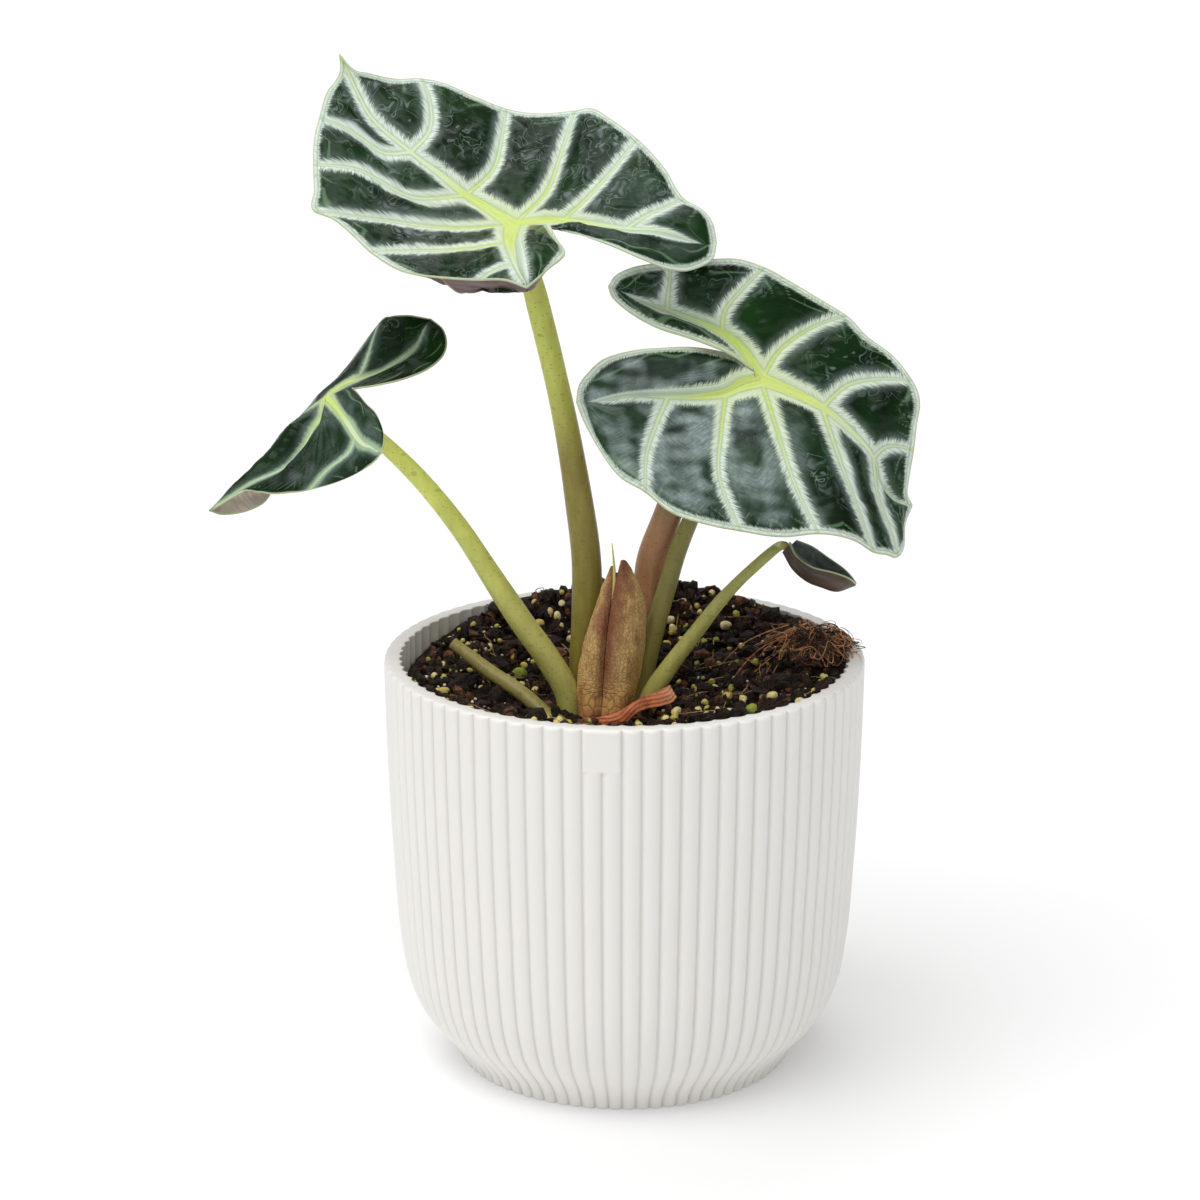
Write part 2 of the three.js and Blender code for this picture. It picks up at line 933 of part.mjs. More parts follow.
// The rolled leaf is one curved sheet: lines across it run from the near margin under the keel to the far
// one.
const ROLLED_LEAF = {
  nearness: 24,
  lines: [
    [
      [0, 790, 542, 2],
      [1, 797, 556, 4],
      [2, 812, 566.5, 5],
      [3, 832, 571.5, 5],
      [4, 848, 577, 4],
      [5, 856, 583, 2],
    ],
    [
      [0, 788, 546, 1],
      [1, 798, 563, 4],
      [2, 811, 573, 5],
      [3, 829, 580, 5],
      [4, 843, 586, 4],
      [5, 855, 585, 1.5],
    ],
    [
      [0, 783, 552, -1],
      [1, 793, 569, 1],
      [2, 807, 581, 1],
      [3, 822, 587, 1],
      [4, 837, 591, 1],
      [5, 853, 586, 1],
    ],
    [
      [0, 788, 548, -6],
      [1, 803, 560, -7],
      [2, 819, 570, -8],
      [3, 833, 577, -7],
      [4, 845, 583, -5],
      [5, 855, 585, 0],
    ],
    [
      [0, 797, 540, -6],
      [1, 812, 546, -8],
      [2, 828, 557, -9],
      [3, 841, 566, -8],
      [4, 850, 574, -6],
      [5, 856, 582.5, 0],
    ],
  ],
};

// Bud sheaths and the dry scale: lines of [station, column, row, back], each running along the piece.
const SHEATH_RIGHT = [
  [
    [0, 601, 723, -12.1],
    [1, 604, 680, -11.4],
    [2, 607, 640, -10.6],
    [3, 612, 600, -9.4],
    [4, 617, 576, -8.6],
    [5, 621, 561, -7.2],
  ],
  [
    [0, 610, 723, -13.6],
    [1, 615, 680, -12.9],
    [2, 619, 640, -11.8],
    [3, 623, 600, -10],
    [4, 623, 576, -8.8],
    [5, 622, 560, -7.2],
  ],
  [
    [0, 621, 722, -12.9],
    [1, 629, 679, -12],
    [2, 635, 640, -10.4],
    [3, 636, 600, -8.2],
    [4, 630, 576, -7.4],
    [5, 624, 560, -7],
  ],
  [
    [0, 628, 718, -9.9],
    [1, 639, 677, -6.6],
    [2, 645, 640, -4],
    [3, 644, 601, -3],
    [4, 635, 577, -4.6],
    [5, 626, 561, -6.6],
  ],
];

const SHEATH_LEFT = [
  [
    [0, 601, 722, -10.7],
    [1, 603, 680, -10],
    [2, 606, 640, -8.8],
    [3, 611, 600, -7],
    [4, 614, 578, -6.2],
    [5, 613, 567, -5.8],
  ],
  [
    [0, 592, 722, -11.7],
    [1, 594, 680, -10.8],
    [2, 598, 640, -9.2],
    [3, 606, 600, -7],
    [4, 611, 578, -6.2],
    [5, 612.5, 566, -5.8],
  ],
  [
    [0, 584, 721, -10.5],
    [1, 584, 680, -9],
    [2, 590, 640, -7.2],
    [3, 600, 601, -5.6],
    [4, 608, 579, -5.6],
    [5, 612, 566, -5.6],
  ],
  [
    [0, 579, 718, -8.9],
    [1, 578, 680, -5.6],
    [2, 585, 640, -3.4],
    [3, 597, 603, -3.4],
    [4, 605, 581, -4.6],
    [5, 611.5, 567, -5.4],
  ],
];

const DRY_BRACT = [
  [
    [0, 578, 725, -12.4],
    [1, 600, 729, -15.4],
    [2, 622, 726, -16],
    [3, 640, 711, -15],
    [4, 668, 704, -13],
    [5, 677, 697, -12],
  ],
  [
    [0, 581, 722, -12.6],
    [1, 599, 723, -15.8],
    [2, 619, 719, -16.4],
    [3, 638, 705, -15],
    [4, 666, 695, -13],
    [5, 675, 694, -12],
  ],
  [
    [0, 586, 718, -12.6],
    [1, 598, 717, -15.4],
    [2, 616, 713, -16],
    [3, 637, 700, -14.4],
    [4, 662, 689, -12.4],
    [5, 670, 685, -11.6],
  ],
];

function sheetPatch(lines, place, stations, shares, turn) {
  const curves = lines.map((line) =>
    smoothCurve(
      line.map(([station]) => station),
      line.map(([, column, row, depth]) => place(column, row, depth)),
    ),
  );
  const knots = lines.map((_, i) => i / (lines.length - 1));
  const grid = Array.from({ length: stations + 1 }, (_, i) => {
    const station = (i / stations) * lines[0].at(-1)[0];
    const across = smoothCurve(knots, curves.map((curve) => curve(station)));
    return Array.from({ length: shares + 1 }, (_, j) => across(j / shares));
  });
  return [{ grid, turn }];
}

// Stalks: first the root end, then places up the stalk, then where the blade joins it, with radii
// between.
const ROOT_LEVEL = CROWN.z - 1.5;
const STALKS = {
  petiole_crown: {
    points: [
      new THREE.Vector3(-10.5, 4.5, ROOT_LEVEL),
      seenAtBack(585, 680, 4.2),
      seenAtBack(587, 620, 3.5),
      seenAtBack(586, 555, 2.6),
      seenAtBack(578, 495, 2),
      seenAtBack(568, 435, 2),
      seenAtBack(555, 375, 2.6),
      seenAtBack(540.5, 315, 3.6),
      seenAtBack(527, 265, 4.6),
      seen(513, 226, 26.5),
    ],
    radii: [4.4, 4.6, 4.5, 4.3, 4, 3.7, 3.4, 3, 2.6, 2],
    blade: "leaf_crown",
  },
  petiole_right: {
    points: [
      new THREE.Vector3(-0.7, 7.5, ROOT_LEVEL),
      seenAtBack(640, 650, 8.6),
      seenAtBack(648, 605, 9),
      seenAtBack(652, 560, 9),
      seenAtBack(666, 520, 8),
      seenAtBack(681, 480, 5.6),
      seenAtBack(706, 440, 1.6),
      seenAtBack(738, 403, -5),
      seen(761, 380, 29.5),
    ],
    radii: [4.6, 4.7, 4.7, 4.6, 4.3, 3.8, 3.3, 2.8, 2],
    blade: "leaf_right",
  },
  petiole_left: {
    points: [
      new THREE.Vector3(-15.5, -4, ROOT_LEVEL),
      seenAtBack(567, 692, -4.6),
      seenAtBack(549, 660, -4.4),
      seenAtBack(523, 624, -3),
      seenAtBack(492, 577, -1),
      seenAtBack(457.5, 525, 1),
      seenAtBack(420.5, 480, 3),
      seenAtBack(384, 444, 5),
      seenAtBack(350, 416, 6),
      seen(326, 397, 14.5),
    ],
    radii: [3.6, 3.7, 3.6, 3.4, 3.1, 2.9, 2.7, 2.5, 2.2, 1.6],
    blade: "leaf_left",
  },
  petiole_back: {
    points: [
      new THREE.Vector3(3.9, 0.5, ROOT_LEVEL),
      seenAtBack(643, 680, 0.6),
      seenAtBack(656, 625, 1),
      seenAtBack(668, 584, 1.4),
      seenAtBack(676, 557, 2),
      seenAtBack(690.5, 520, 3.6),
      seenAtBack(709, 482, 7.4),
      seenAtBack(718, 457, 12.5),
      seen(722, 440, -4.3),
    ],
    radii: [2.9, 2.9, 2.9, 2.8, 2.7, 2.5, 2.3, 2, 1.5],
    blade: "leaf_back",
  },
  petiole_low_right: {
    points: [
      new THREE.Vector3(4.9, -6.4, ROOT_LEVEL),
      seenAtBack(654, 689, -7.4),
      seenAtBack(667, 670, -7.6),
      seenAtBack(697, 631, -8),
      seenAtBack(724, 597, -8.6),
      seenAtBack(757.5, 564, -9.4),
      seenAtBack(778, 547, -10.4),
      seen(787, 545, 23.6),
    ],
    radii: [3.1, 3.1, 3, 2.5, 2, 1.6, 1.5, 1.2],
    blade: "leaf_low_right",
  },
  petiole_stub: {
    points: [
      new THREE.Vector3(-14.4, -13, 99),
      seenAtBack(564, 727, -11.6),
      seenAtBack(546, 714, -8.6),
      seenAtBack(524, 695, -4),
      seenAtBack(488, 670, 3),
      seenAtBack(453, 643, 9),
    ],
    radii: [2.3, 2.3, 2.3, 2.2, 2, 1.7],
  },
  new_leaf: {
    points: [
      new THREE.Vector3(-3.4, -5, ROOT_LEVEL),
      seenAtBack(609, 660, -6),
      seenAtBack(613, 610, -7.6),
      seenAtBack(614.5, 585, -7.9),
      seenAtBack(614, 565, -8),
      seenAtBack(612, 543, -8),
    ],
    radii: [2.2, 2, 1, 0.5, 0.42, 0.12],
  },
};

// The room that a stalk takes in the mix: the stalk grown by the clearance, at its root end too.
function roomFor({ points, radii }) {
  const root = points[0].clone().sub(points[1]).setLength(GAP).add(points[0]);
  return solidOf(stalk([root, ...points.slice(1)], radii.map((radius) => radius + GAP)));
}

function largestBody(solid) {
  const bodies = solid.decompose();
  return bodies.reduce((best, body) => (body.volume() > best.volume() ? body : best));
}

// Stands a body on the ground: what would be inside the ground is cut away.
function stoodOn(ground, body) {
  return largestBody(body.subtract(ground));
}

// Corm: an upright egg with its top cut flat, under the crown.
function cormSolid(grow) {
  const turns = 8;
  const outline = [new THREE.Vector2(0, -CORM_HEIGHT - grow)];
  for (let i = 1; i <= turns; i += 1) {
    const angle = (i / turns) * (Math.PI / 2);
    outline.push(
      new THREE.Vector2(
        (CORM_RADIUS + grow) * Math.sin(angle) ** 0.8,
        -(CORM_HEIGHT + grow) * Math.cos(angle),
      ),
    );
  }
  const top = grow > 0 ? 4 : 0;
  if (top > 0) outline.push(new THREE.Vector2(CORM_RADIUS + grow, top));
  outline.push(new THREE.Vector2(0, top));
  const body = new THREE.LatheGeometry(outline, 24).rotateX(Math.PI / 2);
  return solidOf(body.translate(CROWN.x, CROWN.y, CROWN.z));
}

// Grit: uneven pebbles sunk in the mix, each at its column and row, with its three radii.
const GRIT_STANDS = 0.3;
const GRIT_TURN = 1.7;
const GRIT = [
  [539, 625, 2.2, 1.7, 1.5],
  [520, 675, 2.3, 2.1, 2],
  [726, 627, 2.3, 1.9, 1.6],
  [670, 621, 1.7, 1.5, 1.3],
  [667, 645, 1.6, 1.4, 1.2],
  [752, 711, 2.3, 2, 1.8],
  [729, 714, 2.1, 1.5, 1.4],
  [707, 716, 1.6, 1.3, 1.2],
  [728, 697, 1.8, 1.5, 1.4],
  [716, 641, 1.6, 1.1, 1],
  [571, 640, 1.5, 1.4, 1.3],
  [562, 604, 2.3, 1.1, 0.9],
  [444, 692, 1.9, 1.5, 1.2],
  [738, 664, 1.3, 1.2, 1.1],
];

function gritSolid([column, row, ...radii], order, grow) {
  const body = new THREE.IcosahedronGeometry(1, 1);
  const place = body.attributes.position;
  const p = new THREE.Vector3();
  for (let i = 0; i < place.count; i += 1) {
    p.fromBufferAttribute(place, i);
    const swell = 0.09 * Math.sin(3.1 * p.x + order) * Math.cos(2.7 * p.y - order);
    const lump = 1 + swell + 0.05 * Math.sin(4 * p.z);
    const [x, y, z] = radii.map((radius) => lump * (radius + grow));
    place.setXYZ(i, p.x * x, p.y * y, p.z * z);
  }
  const seat = onMix(column, row);
  body.rotateZ(order * GRIT_TURN).translate(seat.x, seat.y, seat.z + radii[2] * GRIT_STANDS);
  return solidOf(body);
}

// Coir: one lump lying on the mix and over the rim at the right.
const COIR = { x: 56, y: 6, z: 122.5, long: 17, wide: 11.5, thick: 5.5, turn: -0.15 };

function coirSolid(mix) {
  const body = new THREE.IcosahedronGeometry(1, 2)
    .scale(COIR.wide, COIR.long, COIR.thick)
    .rotateZ(COIR.turn)
    .translate(COIR.x, COIR.y, COIR.z);
  const inside = innerRadius() - 2 * GAP;
  const beyond = RIM_RADIUS + COIR.wide;
  const top = POT_HEIGHT + GAP;
  const outline = [
    [inside, UPRIGHT_FROM],
    [beyond, UPRIGHT_FROM],
    [beyond, top],
    [inside, top],
    [inside, UPRIGHT_FROM],
  ];
  const wall = new THREE.LatheGeometry(
    outline.map(([radius, z]) => new THREE.Vector2(radius, z)),
    RIB_COUNT,
  ).rotateX(Math.PI / 2);
  return solidOf(body).subtract(mix.translate([0, 0, GAP])).subtract(solidOf(wall));
}

// Finishes
const FINISH = {
  pot: { color: 0xe9e7e2, roughness: 0.5 },
  mix: { color: 0x2a1d16, roughness: 0.95 },
  corm: { color: 0x6b4a2e, roughness: 0.9 },
  leaf: { color: 0x1f3d24, roughness: 0.3 },
  olive: { color: 0x8f9a4a, roughness: 0.45 },
  purple: { color: 0x7d5f4d, roughness: 0.5 },
  sheath: { color: 0x9b7d4b, roughness: 0.7 },
  young: { color: 0xd2cf5a, roughness: 0.45 },
  bract: { color: 0xa9572f, roughness: 0.75 },
  grit: { color: 0xcfc7a0, roughness: 0.7 },
  coir: { color: 0x8a4f2c, roughness: 0.95 },
};

function piece(name, geometry, finish) {
  const material = new THREE.MeshStandardMaterial({ metalness: 0, ...FINISH[finish] });
  const mesh = new THREE.Mesh(geometry, material);
  mesh.name = name;
  return mesh;
}

// Assembly
const bladeSheets = {
  leaf_crown: bladePatches(CROWN_LEAF),
  leaf_right: bladePatches(RIGHT_LEAF),
  leaf_left: bladePatches(LEFT_LEAF),
  leaf_back: bladePatches(BACK_LEAF),
  leaf_low_right: sheetPatch(
    ROLLED_LEAF.lines,
    (column, row, towards) => seen(column, row, towards + ROLLED_LEAF.nearness),
    10,
    8,
    1,
  ),
};
const grownBlades = Object.fromEntries(
  Object.entries(bladeSheets).map(([name, sheet]) => [
    name,
    solidOf(thickened(sheet, BLADE + 2 * GAP)),
  ]),
);
const stubRoom = roomFor(STALKS.petiole_stub);
const gritRoom = GRIT.map((grain, i) => gritSolid(grain, i + 1, GAP));
const mix = [cormSolid(GAP), stubRoom, ...gritRoom].reduce(
  (body, room) => body.subtract(room),
  mixSolid(),
);
const ground = mixSolid().add(cormSolid(0)).translate([0, 0, GAP]);

const group = new THREE.Group();
group.add(piece("pot", geometryOf(potSolid()), "pot"));
group.add(piece("potting_mix", geometryOf(mix), "mix"));
group.add(piece("corm", geometryOf(cormSolid(0)), "corm"));
for (const [name, sheet] of Object.entries(bladeSheets)) {
  group.add(piece(name, thickened(sheet, BLADE), "leaf"));
}
for (const [name, form] of Object.entries(STALKS)) {
  const finish = { petiole_right: "purple", new_leaf: "young" }[name] ?? "olive";
  const whole = solidOf(stalk(form.points, form.radii));
  const joined = form.blade ? whole.subtract(grownBlades[form.blade]) : whole;
  const body = name === "petiole_stub" ? joined.subtract(cormSolid(GAP)) : stoodOn(ground, joined);
  group.add(piece(name, geometryOf(body), finish));
}
const scales = { sheath_right: SHEATH_RIGHT, sheath_left: SHEATH_LEFT, dry_bract: DRY_BRACT };
for (const [name, lines] of Object.entries(scales)) {
  const body = solidOf(thickened(sheetPatch(lines, seenAtBack, 10, 6, 1), SHEATH));
  const finish = name === "dry_bract" ? "bract" : "sheath";
  group.add(piece(name, geometryOf(stoodOn(ground, body)), finish));
}
group.add(piece("fibre_clump", geometryOf(coirSolid(mix)), "coir"));
GRIT.forEach((grain, i) => {
  const name = `grit_${String(i + 1).padStart(2, "0")}`;
  group.add(piece(name, geometryOf(gritSolid(grain, i + 1, 0)), "grit"));
});

export default group;
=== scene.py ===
"""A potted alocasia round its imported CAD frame: ribbed pot, mix, stalks, veined leaves and bud sheaths.

Lengths below are millimetres, in the CAD frame, until build() puts them into a mesh in metres.
"""

import math
from types import SimpleNamespace

import bpy
import numpy as np
from bpy.props import FloatProperty, FloatVectorProperty, IntProperty, PointerProperty
from bpy.types import Operator, Panel, PropertyGroup
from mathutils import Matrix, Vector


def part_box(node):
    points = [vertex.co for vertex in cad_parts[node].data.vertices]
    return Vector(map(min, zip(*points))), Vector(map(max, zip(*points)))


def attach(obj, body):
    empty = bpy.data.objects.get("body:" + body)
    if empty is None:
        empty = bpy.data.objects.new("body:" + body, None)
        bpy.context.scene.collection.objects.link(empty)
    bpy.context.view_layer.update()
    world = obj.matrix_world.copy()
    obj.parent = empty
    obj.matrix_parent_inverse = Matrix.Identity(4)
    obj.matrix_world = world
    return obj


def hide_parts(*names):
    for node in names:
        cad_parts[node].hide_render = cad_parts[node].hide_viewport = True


bl_info = {
    "name": "Potted Alocasia",
    "version": (1, 0, 0),
    "blender": (4, 5, 0),
    "location": "View3D > Sidebar > Alocasia",
    "description": "Builds a potted alocasia with veined leaves, piece by piece",
    "category": "Add Mesh",
}

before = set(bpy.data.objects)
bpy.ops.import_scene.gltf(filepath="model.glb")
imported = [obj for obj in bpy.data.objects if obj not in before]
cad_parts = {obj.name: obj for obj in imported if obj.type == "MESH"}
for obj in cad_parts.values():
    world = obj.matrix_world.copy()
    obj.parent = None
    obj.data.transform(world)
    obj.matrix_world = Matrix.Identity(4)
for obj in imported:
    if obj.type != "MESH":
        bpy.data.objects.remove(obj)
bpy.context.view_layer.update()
MM = 0.001

# Sight line of the measurements: it looks along +Y and down by PITCH, from RANGE away, at the point AIM
PITCH = math.radians(16.75)
RANGE = 1100.0
AIM = (-7.1, 0.0, 138.7)
VIEW_WIDTH = 1200
VIEW_MIDDLE = VIEW_WIDTH / 2
VIEW_SCALE = 3792.0
SENSOR = 36.0

# The pot, the crown that the stalks grow from, and a blade's thickness, as in the CAD
pot_high = np.array(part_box("pot")[1]) / MM
POT_HEIGHT = float(pot_high[2])
RIM_RADIUS = float(pot_high[0])
FOOT_INSET = 20.7
FOOT_RADIUS = RIM_RADIUS - FOOT_INSET
WALL = 4.6
RIB_BROADNESS = 0.5
TAB_HEIGHT = 12.5
TAB_AZIMUTH = -5.5
INNER_RADIUS = RIM_RADIUS - WALL - 0.65
CROWN = (-5.5, 0.0, 104.6)
CROWN_LEVEL = 104.2
BLADE = 0.5


# Colours and arrays


def tint(red, green, blue):
    """The linear colour of a display colour: ((c + 0.055) / 1.055) ^ 2.4, or c / 12.92 where c is small."""
    channels = np.array([red, green, blue]) / 255
    linear = np.where(channels > 0.04045, ((channels + 0.055) / 1.055) ** 2.4, channels / 12.92)
    return tuple(float(c) for c in linear)


def seen(places):
    """Points for places of [column, row, towards]: a place lies on the sight line through its column and
    row, 'towards' nearer than the upright plane through AIM.  x = AIM.x + c k, y = v sin p - t cos p,
    z = AIM.z + v cos p + t sin p, with k = (RANGE - t) / VIEW_SCALE and v = (VIEW_MIDDLE - row) k."""
    places = np.asarray(places, float)
    column, row, towards = np.moveaxis(places, -1, 0)
    share = (RANGE - towards) / VIEW_SCALE
    up = (VIEW_MIDDLE - row) * share
    x = AIM[0] + (column - VIEW_MIDDLE) * share
    y = up * math.sin(PITCH) - towards * math.cos(PITCH)
    z = AIM[2] + up * math.cos(PITCH) + towards * math.sin(PITCH)
    return np.stack([x, y, z], -1)


def seen_at_back(places):
    """Points for places of [column, row, back], where back is y: t = (a RANGE - y) / (a + cos p), with
    a = (VIEW_MIDDLE - row) sin p / VIEW_SCALE."""
    places = np.array(places, float)
    slope = (VIEW_MIDDLE - places[..., 1]) / VIEW_SCALE * math.sin(PITCH)
    places[..., 2] = (slope * RANGE - places[..., 2]) / (slope + math.cos(PITCH))
    return seen(places)


def smooth(knots, values, at):
    """Values at the stations 'at' of a smooth curve through values at knots, along the first axis: a cubic
    between each two knots, whose slope at a knot is the mean of its neighbours' slopes, weighted by the far
    interval."""
    knots, values = np.asarray(knots, float), np.asarray(values, float)
    wide = (-1,) + (1,) * (values.ndim - 1)
    step = np.diff(knots).reshape(wide)
    slope = np.diff(values, axis=0) / step
    inner = (slope[:-1] * step[1:] + slope[1:] * step[:-1]) / (step[1:] + step[:-1])
    tangent = np.concatenate([slope[:1], inner, slope[-1:]])
    at = np.asarray(at, float)
    i = np.clip(np.searchsorted(knots, at, side="right") - 1, 0, len(knots) - 2)
    width = step[i]
    t = np.clip((at.reshape(wide) - knots[i].reshape(wide)) / width, 0, 1)
    start = values[i] * (1 - 3 * t**2 + 2 * t**3) + tangent[i] * width * t * (1 - t) ** 2
    return start + values[i + 1] * (3 * t**2 - 2 * t**3) + tangent[i + 1] * width * t**2 * (t - 1)


def eased(count, ease):
    """Count + 1 shares from 0 to 1, closer together at both ends: t - ease sin(2 pi t) / (2 pi)."""
    t = np.linspace(0, 1, count + 1)
    return t - ease * np.sin(2 * np.pi * t) / (2 * np.pi)


def step_up(values, low, high):
    """0 below low, 1 above high, and 3 t^2 - 2 t^3 between them."""
    t = np.clip((values - low) / (high - low), 0, 1)
    return t * t * (3 - 2 * t)


def ripples(points, size, seed):
    """A smooth uneven field from -1 to 1, with swells of about that size: the sum of sines of p . k + phase,
    over random wave vectors k of length 2 pi / size."""
    waves = 14
    random = np.random.default_rng(seed)
    wave = random.normal(size=(waves, points.shape[-1]))
    wave *= 2 * np.pi / size / np.linalg.norm(wave, axis=1, keepdims=True)
    wave *= random.uniform(0.6, 1.5, (waves, 1))
    phase = random.uniform(0, 2 * np.pi, waves)
    return np.sin(points @ wave.T + phase).sum(-1) / math.sqrt(waves) / 1.6


def unit(vectors):
    """Vectors divided by their length."""
    return vectors / np.maximum(np.linalg.norm(vectors, axis=-1, keepdims=True), 1e-9)


# Meshes


def grid_faces(rows, columns, closed=False):
    """Quads of a grid of points stored row by row. A closed grid joins its last column to its first."""
    row, column = np.meshgrid(np.arange(rows - 1), np.arange(columns - (0 if closed else 1)), indexing="ij")
    after = (column + 1) % columns
    corners = [row * columns + column, row * columns + after, (row + 1) * columns + after]
    return np.stack([*corners, (row + 1) * columns + column], -1).reshape(-1, 4)


def triangles(quads):
    """Each quad cut into two triangles, without the ones that have no area."""
    cut = np.concatenate([quads[:, [0, 1, 2]], quads[:, [0, 2, 3]]])
    same = (cut[:, 0] == cut[:, 1]) | (cut[:, 1] == cut[:, 2]) | (cut[:, 2] == cut[:, 0])
    return cut[~same]


def build(name, points, faces, materials, fields=None, kinds=None, soft=True):
    """A mesh object from points in millimetres and faces, which may have three or four corners. Fields are
    numbers or vectors stored on its points, kinds is each face's material, and soft shades it as a curve."""
    mesh = bpy.data.meshes.new(name)
    faces = np.asarray(faces)
    mesh.vertices.add(len(points))
    mesh.vertices.foreach_set("co", (np.asarray(points) * MM).astype(np.float32).ravel())
    mesh.loops.add(faces.size)
    mesh.loops.foreach_set("vertex_index", faces.astype(np.int32).ravel())
    mesh.polygons.add(len(faces))
    mesh.polygons.foreach_set("loop_start", np.arange(0, faces.size, faces.shape[1], dtype=np.int32))
    mesh.polygons.foreach_set("use_smooth", np.full(len(faces), soft))
    for field, values in (fields or {}).items():
        kind, slot = ("FLOAT_VECTOR", "vector") if values.ndim == 2 else ("FLOAT", "value")
        stored = mesh.attributes.new(field, kind, "POINT")
        stored.data.foreach_set(slot, values.astype(np.float32).ravel())
    for material in materials:
        mesh.materials.append(material)
    if kinds is not None:
        mesh.polygons.foreach_set("material_index", np.asarray(kinds, np.int32))
    mesh.update(calc_edges=True)
    mesh.validate()
    piece = bpy.data.objects.new(name, mesh)
    bpy.context.scene.collection.objects.link(piece)
    return piece


def finish(piece, slot, *nodes):
    """The piece rides on the root body and stands for CAD nodes, whose parts it hides. The slot is not used.
    """
    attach(piece, "root")
    if nodes:
        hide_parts(*nodes)


def joined(parts):
    """Points and faces of many small bodies as one mesh: each part's faces count on from the ones before."""
    counts = np.cumsum([0] + [len(points) for points, _ in parts[:-1]])
    points = np.concatenate([points for points, _ in parts])
    faces = np.concatenate([faces + count for (_, faces), count in zip(parts, counts)])
    return points, faces


def copies(points, faces, places):
    """One small body at many places: places holds each copy's own points. Its faces are repeated in step."""
    count = len(places)
    shifts = np.arange(count)[:, None, None] * len(points)
    return places.reshape(-1, 3), (faces[None] + shifts).reshape(-1, faces.shape[1])


def tube(path, radii, sides, lumps=None):
    """A closed round body along a path: p + r (n cos a + b sin a), with n square to the path and to +Y, and a
    point at the middle of each end. Its grid columns go round it and its rows along it."""
    along = unit(np.gradient(path, axis=0))
    side = unit(np.cross(along, [0.0, 1.0, 0.0]))
    other = np.cross(along, side)
    angle = np.linspace(0, 2 * np.pi, sides, endpoint=False)
    out = side[:, None] * np.cos(angle)[:, None] + other[:, None] * np.sin(angle)[:, None]
    radius = np.asarray(radii)[:, None] * (1 if lumps is None else lumps)
    rings = path[:, None] + out * np.broadcast_to(radius, out.shape[:2])[..., None]
    points = np.concatenate([rings.reshape(-1, 3), path[:1], path[-1:]])
    quads = grid_faces(len(path), sides, closed=True)
    near, far = len(points) - 2, len(points) - 1
    ring = np.arange(sides)
    after = (ring + 1) % sides
    last = (len(path) - 1) * sides
    caps = [np.stack([after, ring, np.full(sides, near)], -1)]
    caps.append(np.stack([last + ring, last + after, np.full(sides, far)], -1))
    return points, np.concatenate([triangles(quads), *caps])


def curve_through(points, steps):
    """Points evenly along a smooth curve through the given ones, with knots at their distances apart."""
    points = np.asarray(points, float)
    knots = np.concatenate([[0], np.cumsum(np.linalg.norm(np.diff(points, axis=0), axis=1))])
    fine = smooth(knots, points, np.linspace(0, knots[-1], steps * 4 + 1))
    length = np.concatenate([[0], np.cumsum(np.linalg.norm(np.diff(fine, axis=0), axis=1))])
    even = np.linspace(0, length[-1], steps + 1)
    return np.stack([np.interp(even, length, fine[:, axis]) for axis in range(3)], -1)


# Node helpers: those that add a node return its output socket


def plug(tree, socket, value):
    """Sets an input socket, or links an output into it."""
    if isinstance(value, bpy.types.NodeSocket):
        tree.links.new(value, socket)
    elif isinstance(value, tuple) and len(value) == 3 and len(socket.default_value) == 4:
        socket.default_value = (*value, 1.0)
    else:
        socket.default_value = value


def node(tree, kind, inputs=None, output=0, **settings):
    """Adds a shader node with its settings and inputs."""
    made = tree.nodes.new("ShaderNode" + kind)
    for name, value in settings.items():
        setattr(made, name, value)
    for name, value in (inputs or {}).items():
        plug(tree, made.inputs[name], value)
    return made.outputs[output]


def maths(tree, operation, first, second=0.0, third=0.0):
    """One operation on one, two or three numbers."""
    return node(tree, "Math", {0: first, 1: second, 2: third}, operation=operation)


def times(tree, first, second):
    return maths(tree, "MULTIPLY", first, second)


def highest(tree, first, *others):
    for other in others:
        first = maths(tree, "MAXIMUM", first, other)
    return first


def away_from(tree, value, middle):
    """How far a value is from a middle one."""
    return maths(tree, "ABSOLUTE", maths(tree, "SUBTRACT", value, middle))


def blend(tree, share, first, second, mode="MIX"):
    """A colour between two."""
    sockets = {0: share, 6: first, 7: second}
    return node(tree, "Mix", sockets, output=2, data_type="RGBA", blend_type=mode)


def rise(tree, value, low, high, start=0.0, end=1.0):
    """A value brought smoothly from start, at low, to end, at high."""
    sockets = {"Value": value, "From Min": low, "From Max": high, "To Min": start, "To Max": end}
    return node(tree, "MapRange", sockets, interpolation_type="SMOOTHSTEP")


def noise(tree, vector, scale, detail=2.0, roughness=0.5, distortion=0.0):
    sockets = {"Vector": vector, "Scale": scale, "Detail": detail, "Roughness": roughness}
    return node(tree, "TexNoise", {**sockets, "Distortion": distortion})


def vector_of(tree, x=0.0, y=0.0, z=0.0):
    return node(tree, "CombineXYZ", {0: x, 1: y, 2: z})


def parts_of(tree, name):
    """The three numbers of a stored vector field."""
    split = tree.nodes.new("ShaderNodeSeparateXYZ")
    plug(tree, split.inputs[0], node(tree, "Attribute", attribute_name=name, output="Vector"))
    return split.outputs


def field(tree, name):
    return node(tree, "Attribute", attribute_name=name, output="Fac")


def place_of(tree):
    return node(tree, "TexCoord", output="Object")


def streaky(tree, across, fine, along, coarse, detail=2.0, roughness=0.5):
    """Noise over two fields, each with a scale of its own, so that it is drawn out along the second."""
    place = vector_of(tree, times(tree, across, fine), times(tree, along, coarse))
    return noise(tree, place, 1.0, detail, roughness)


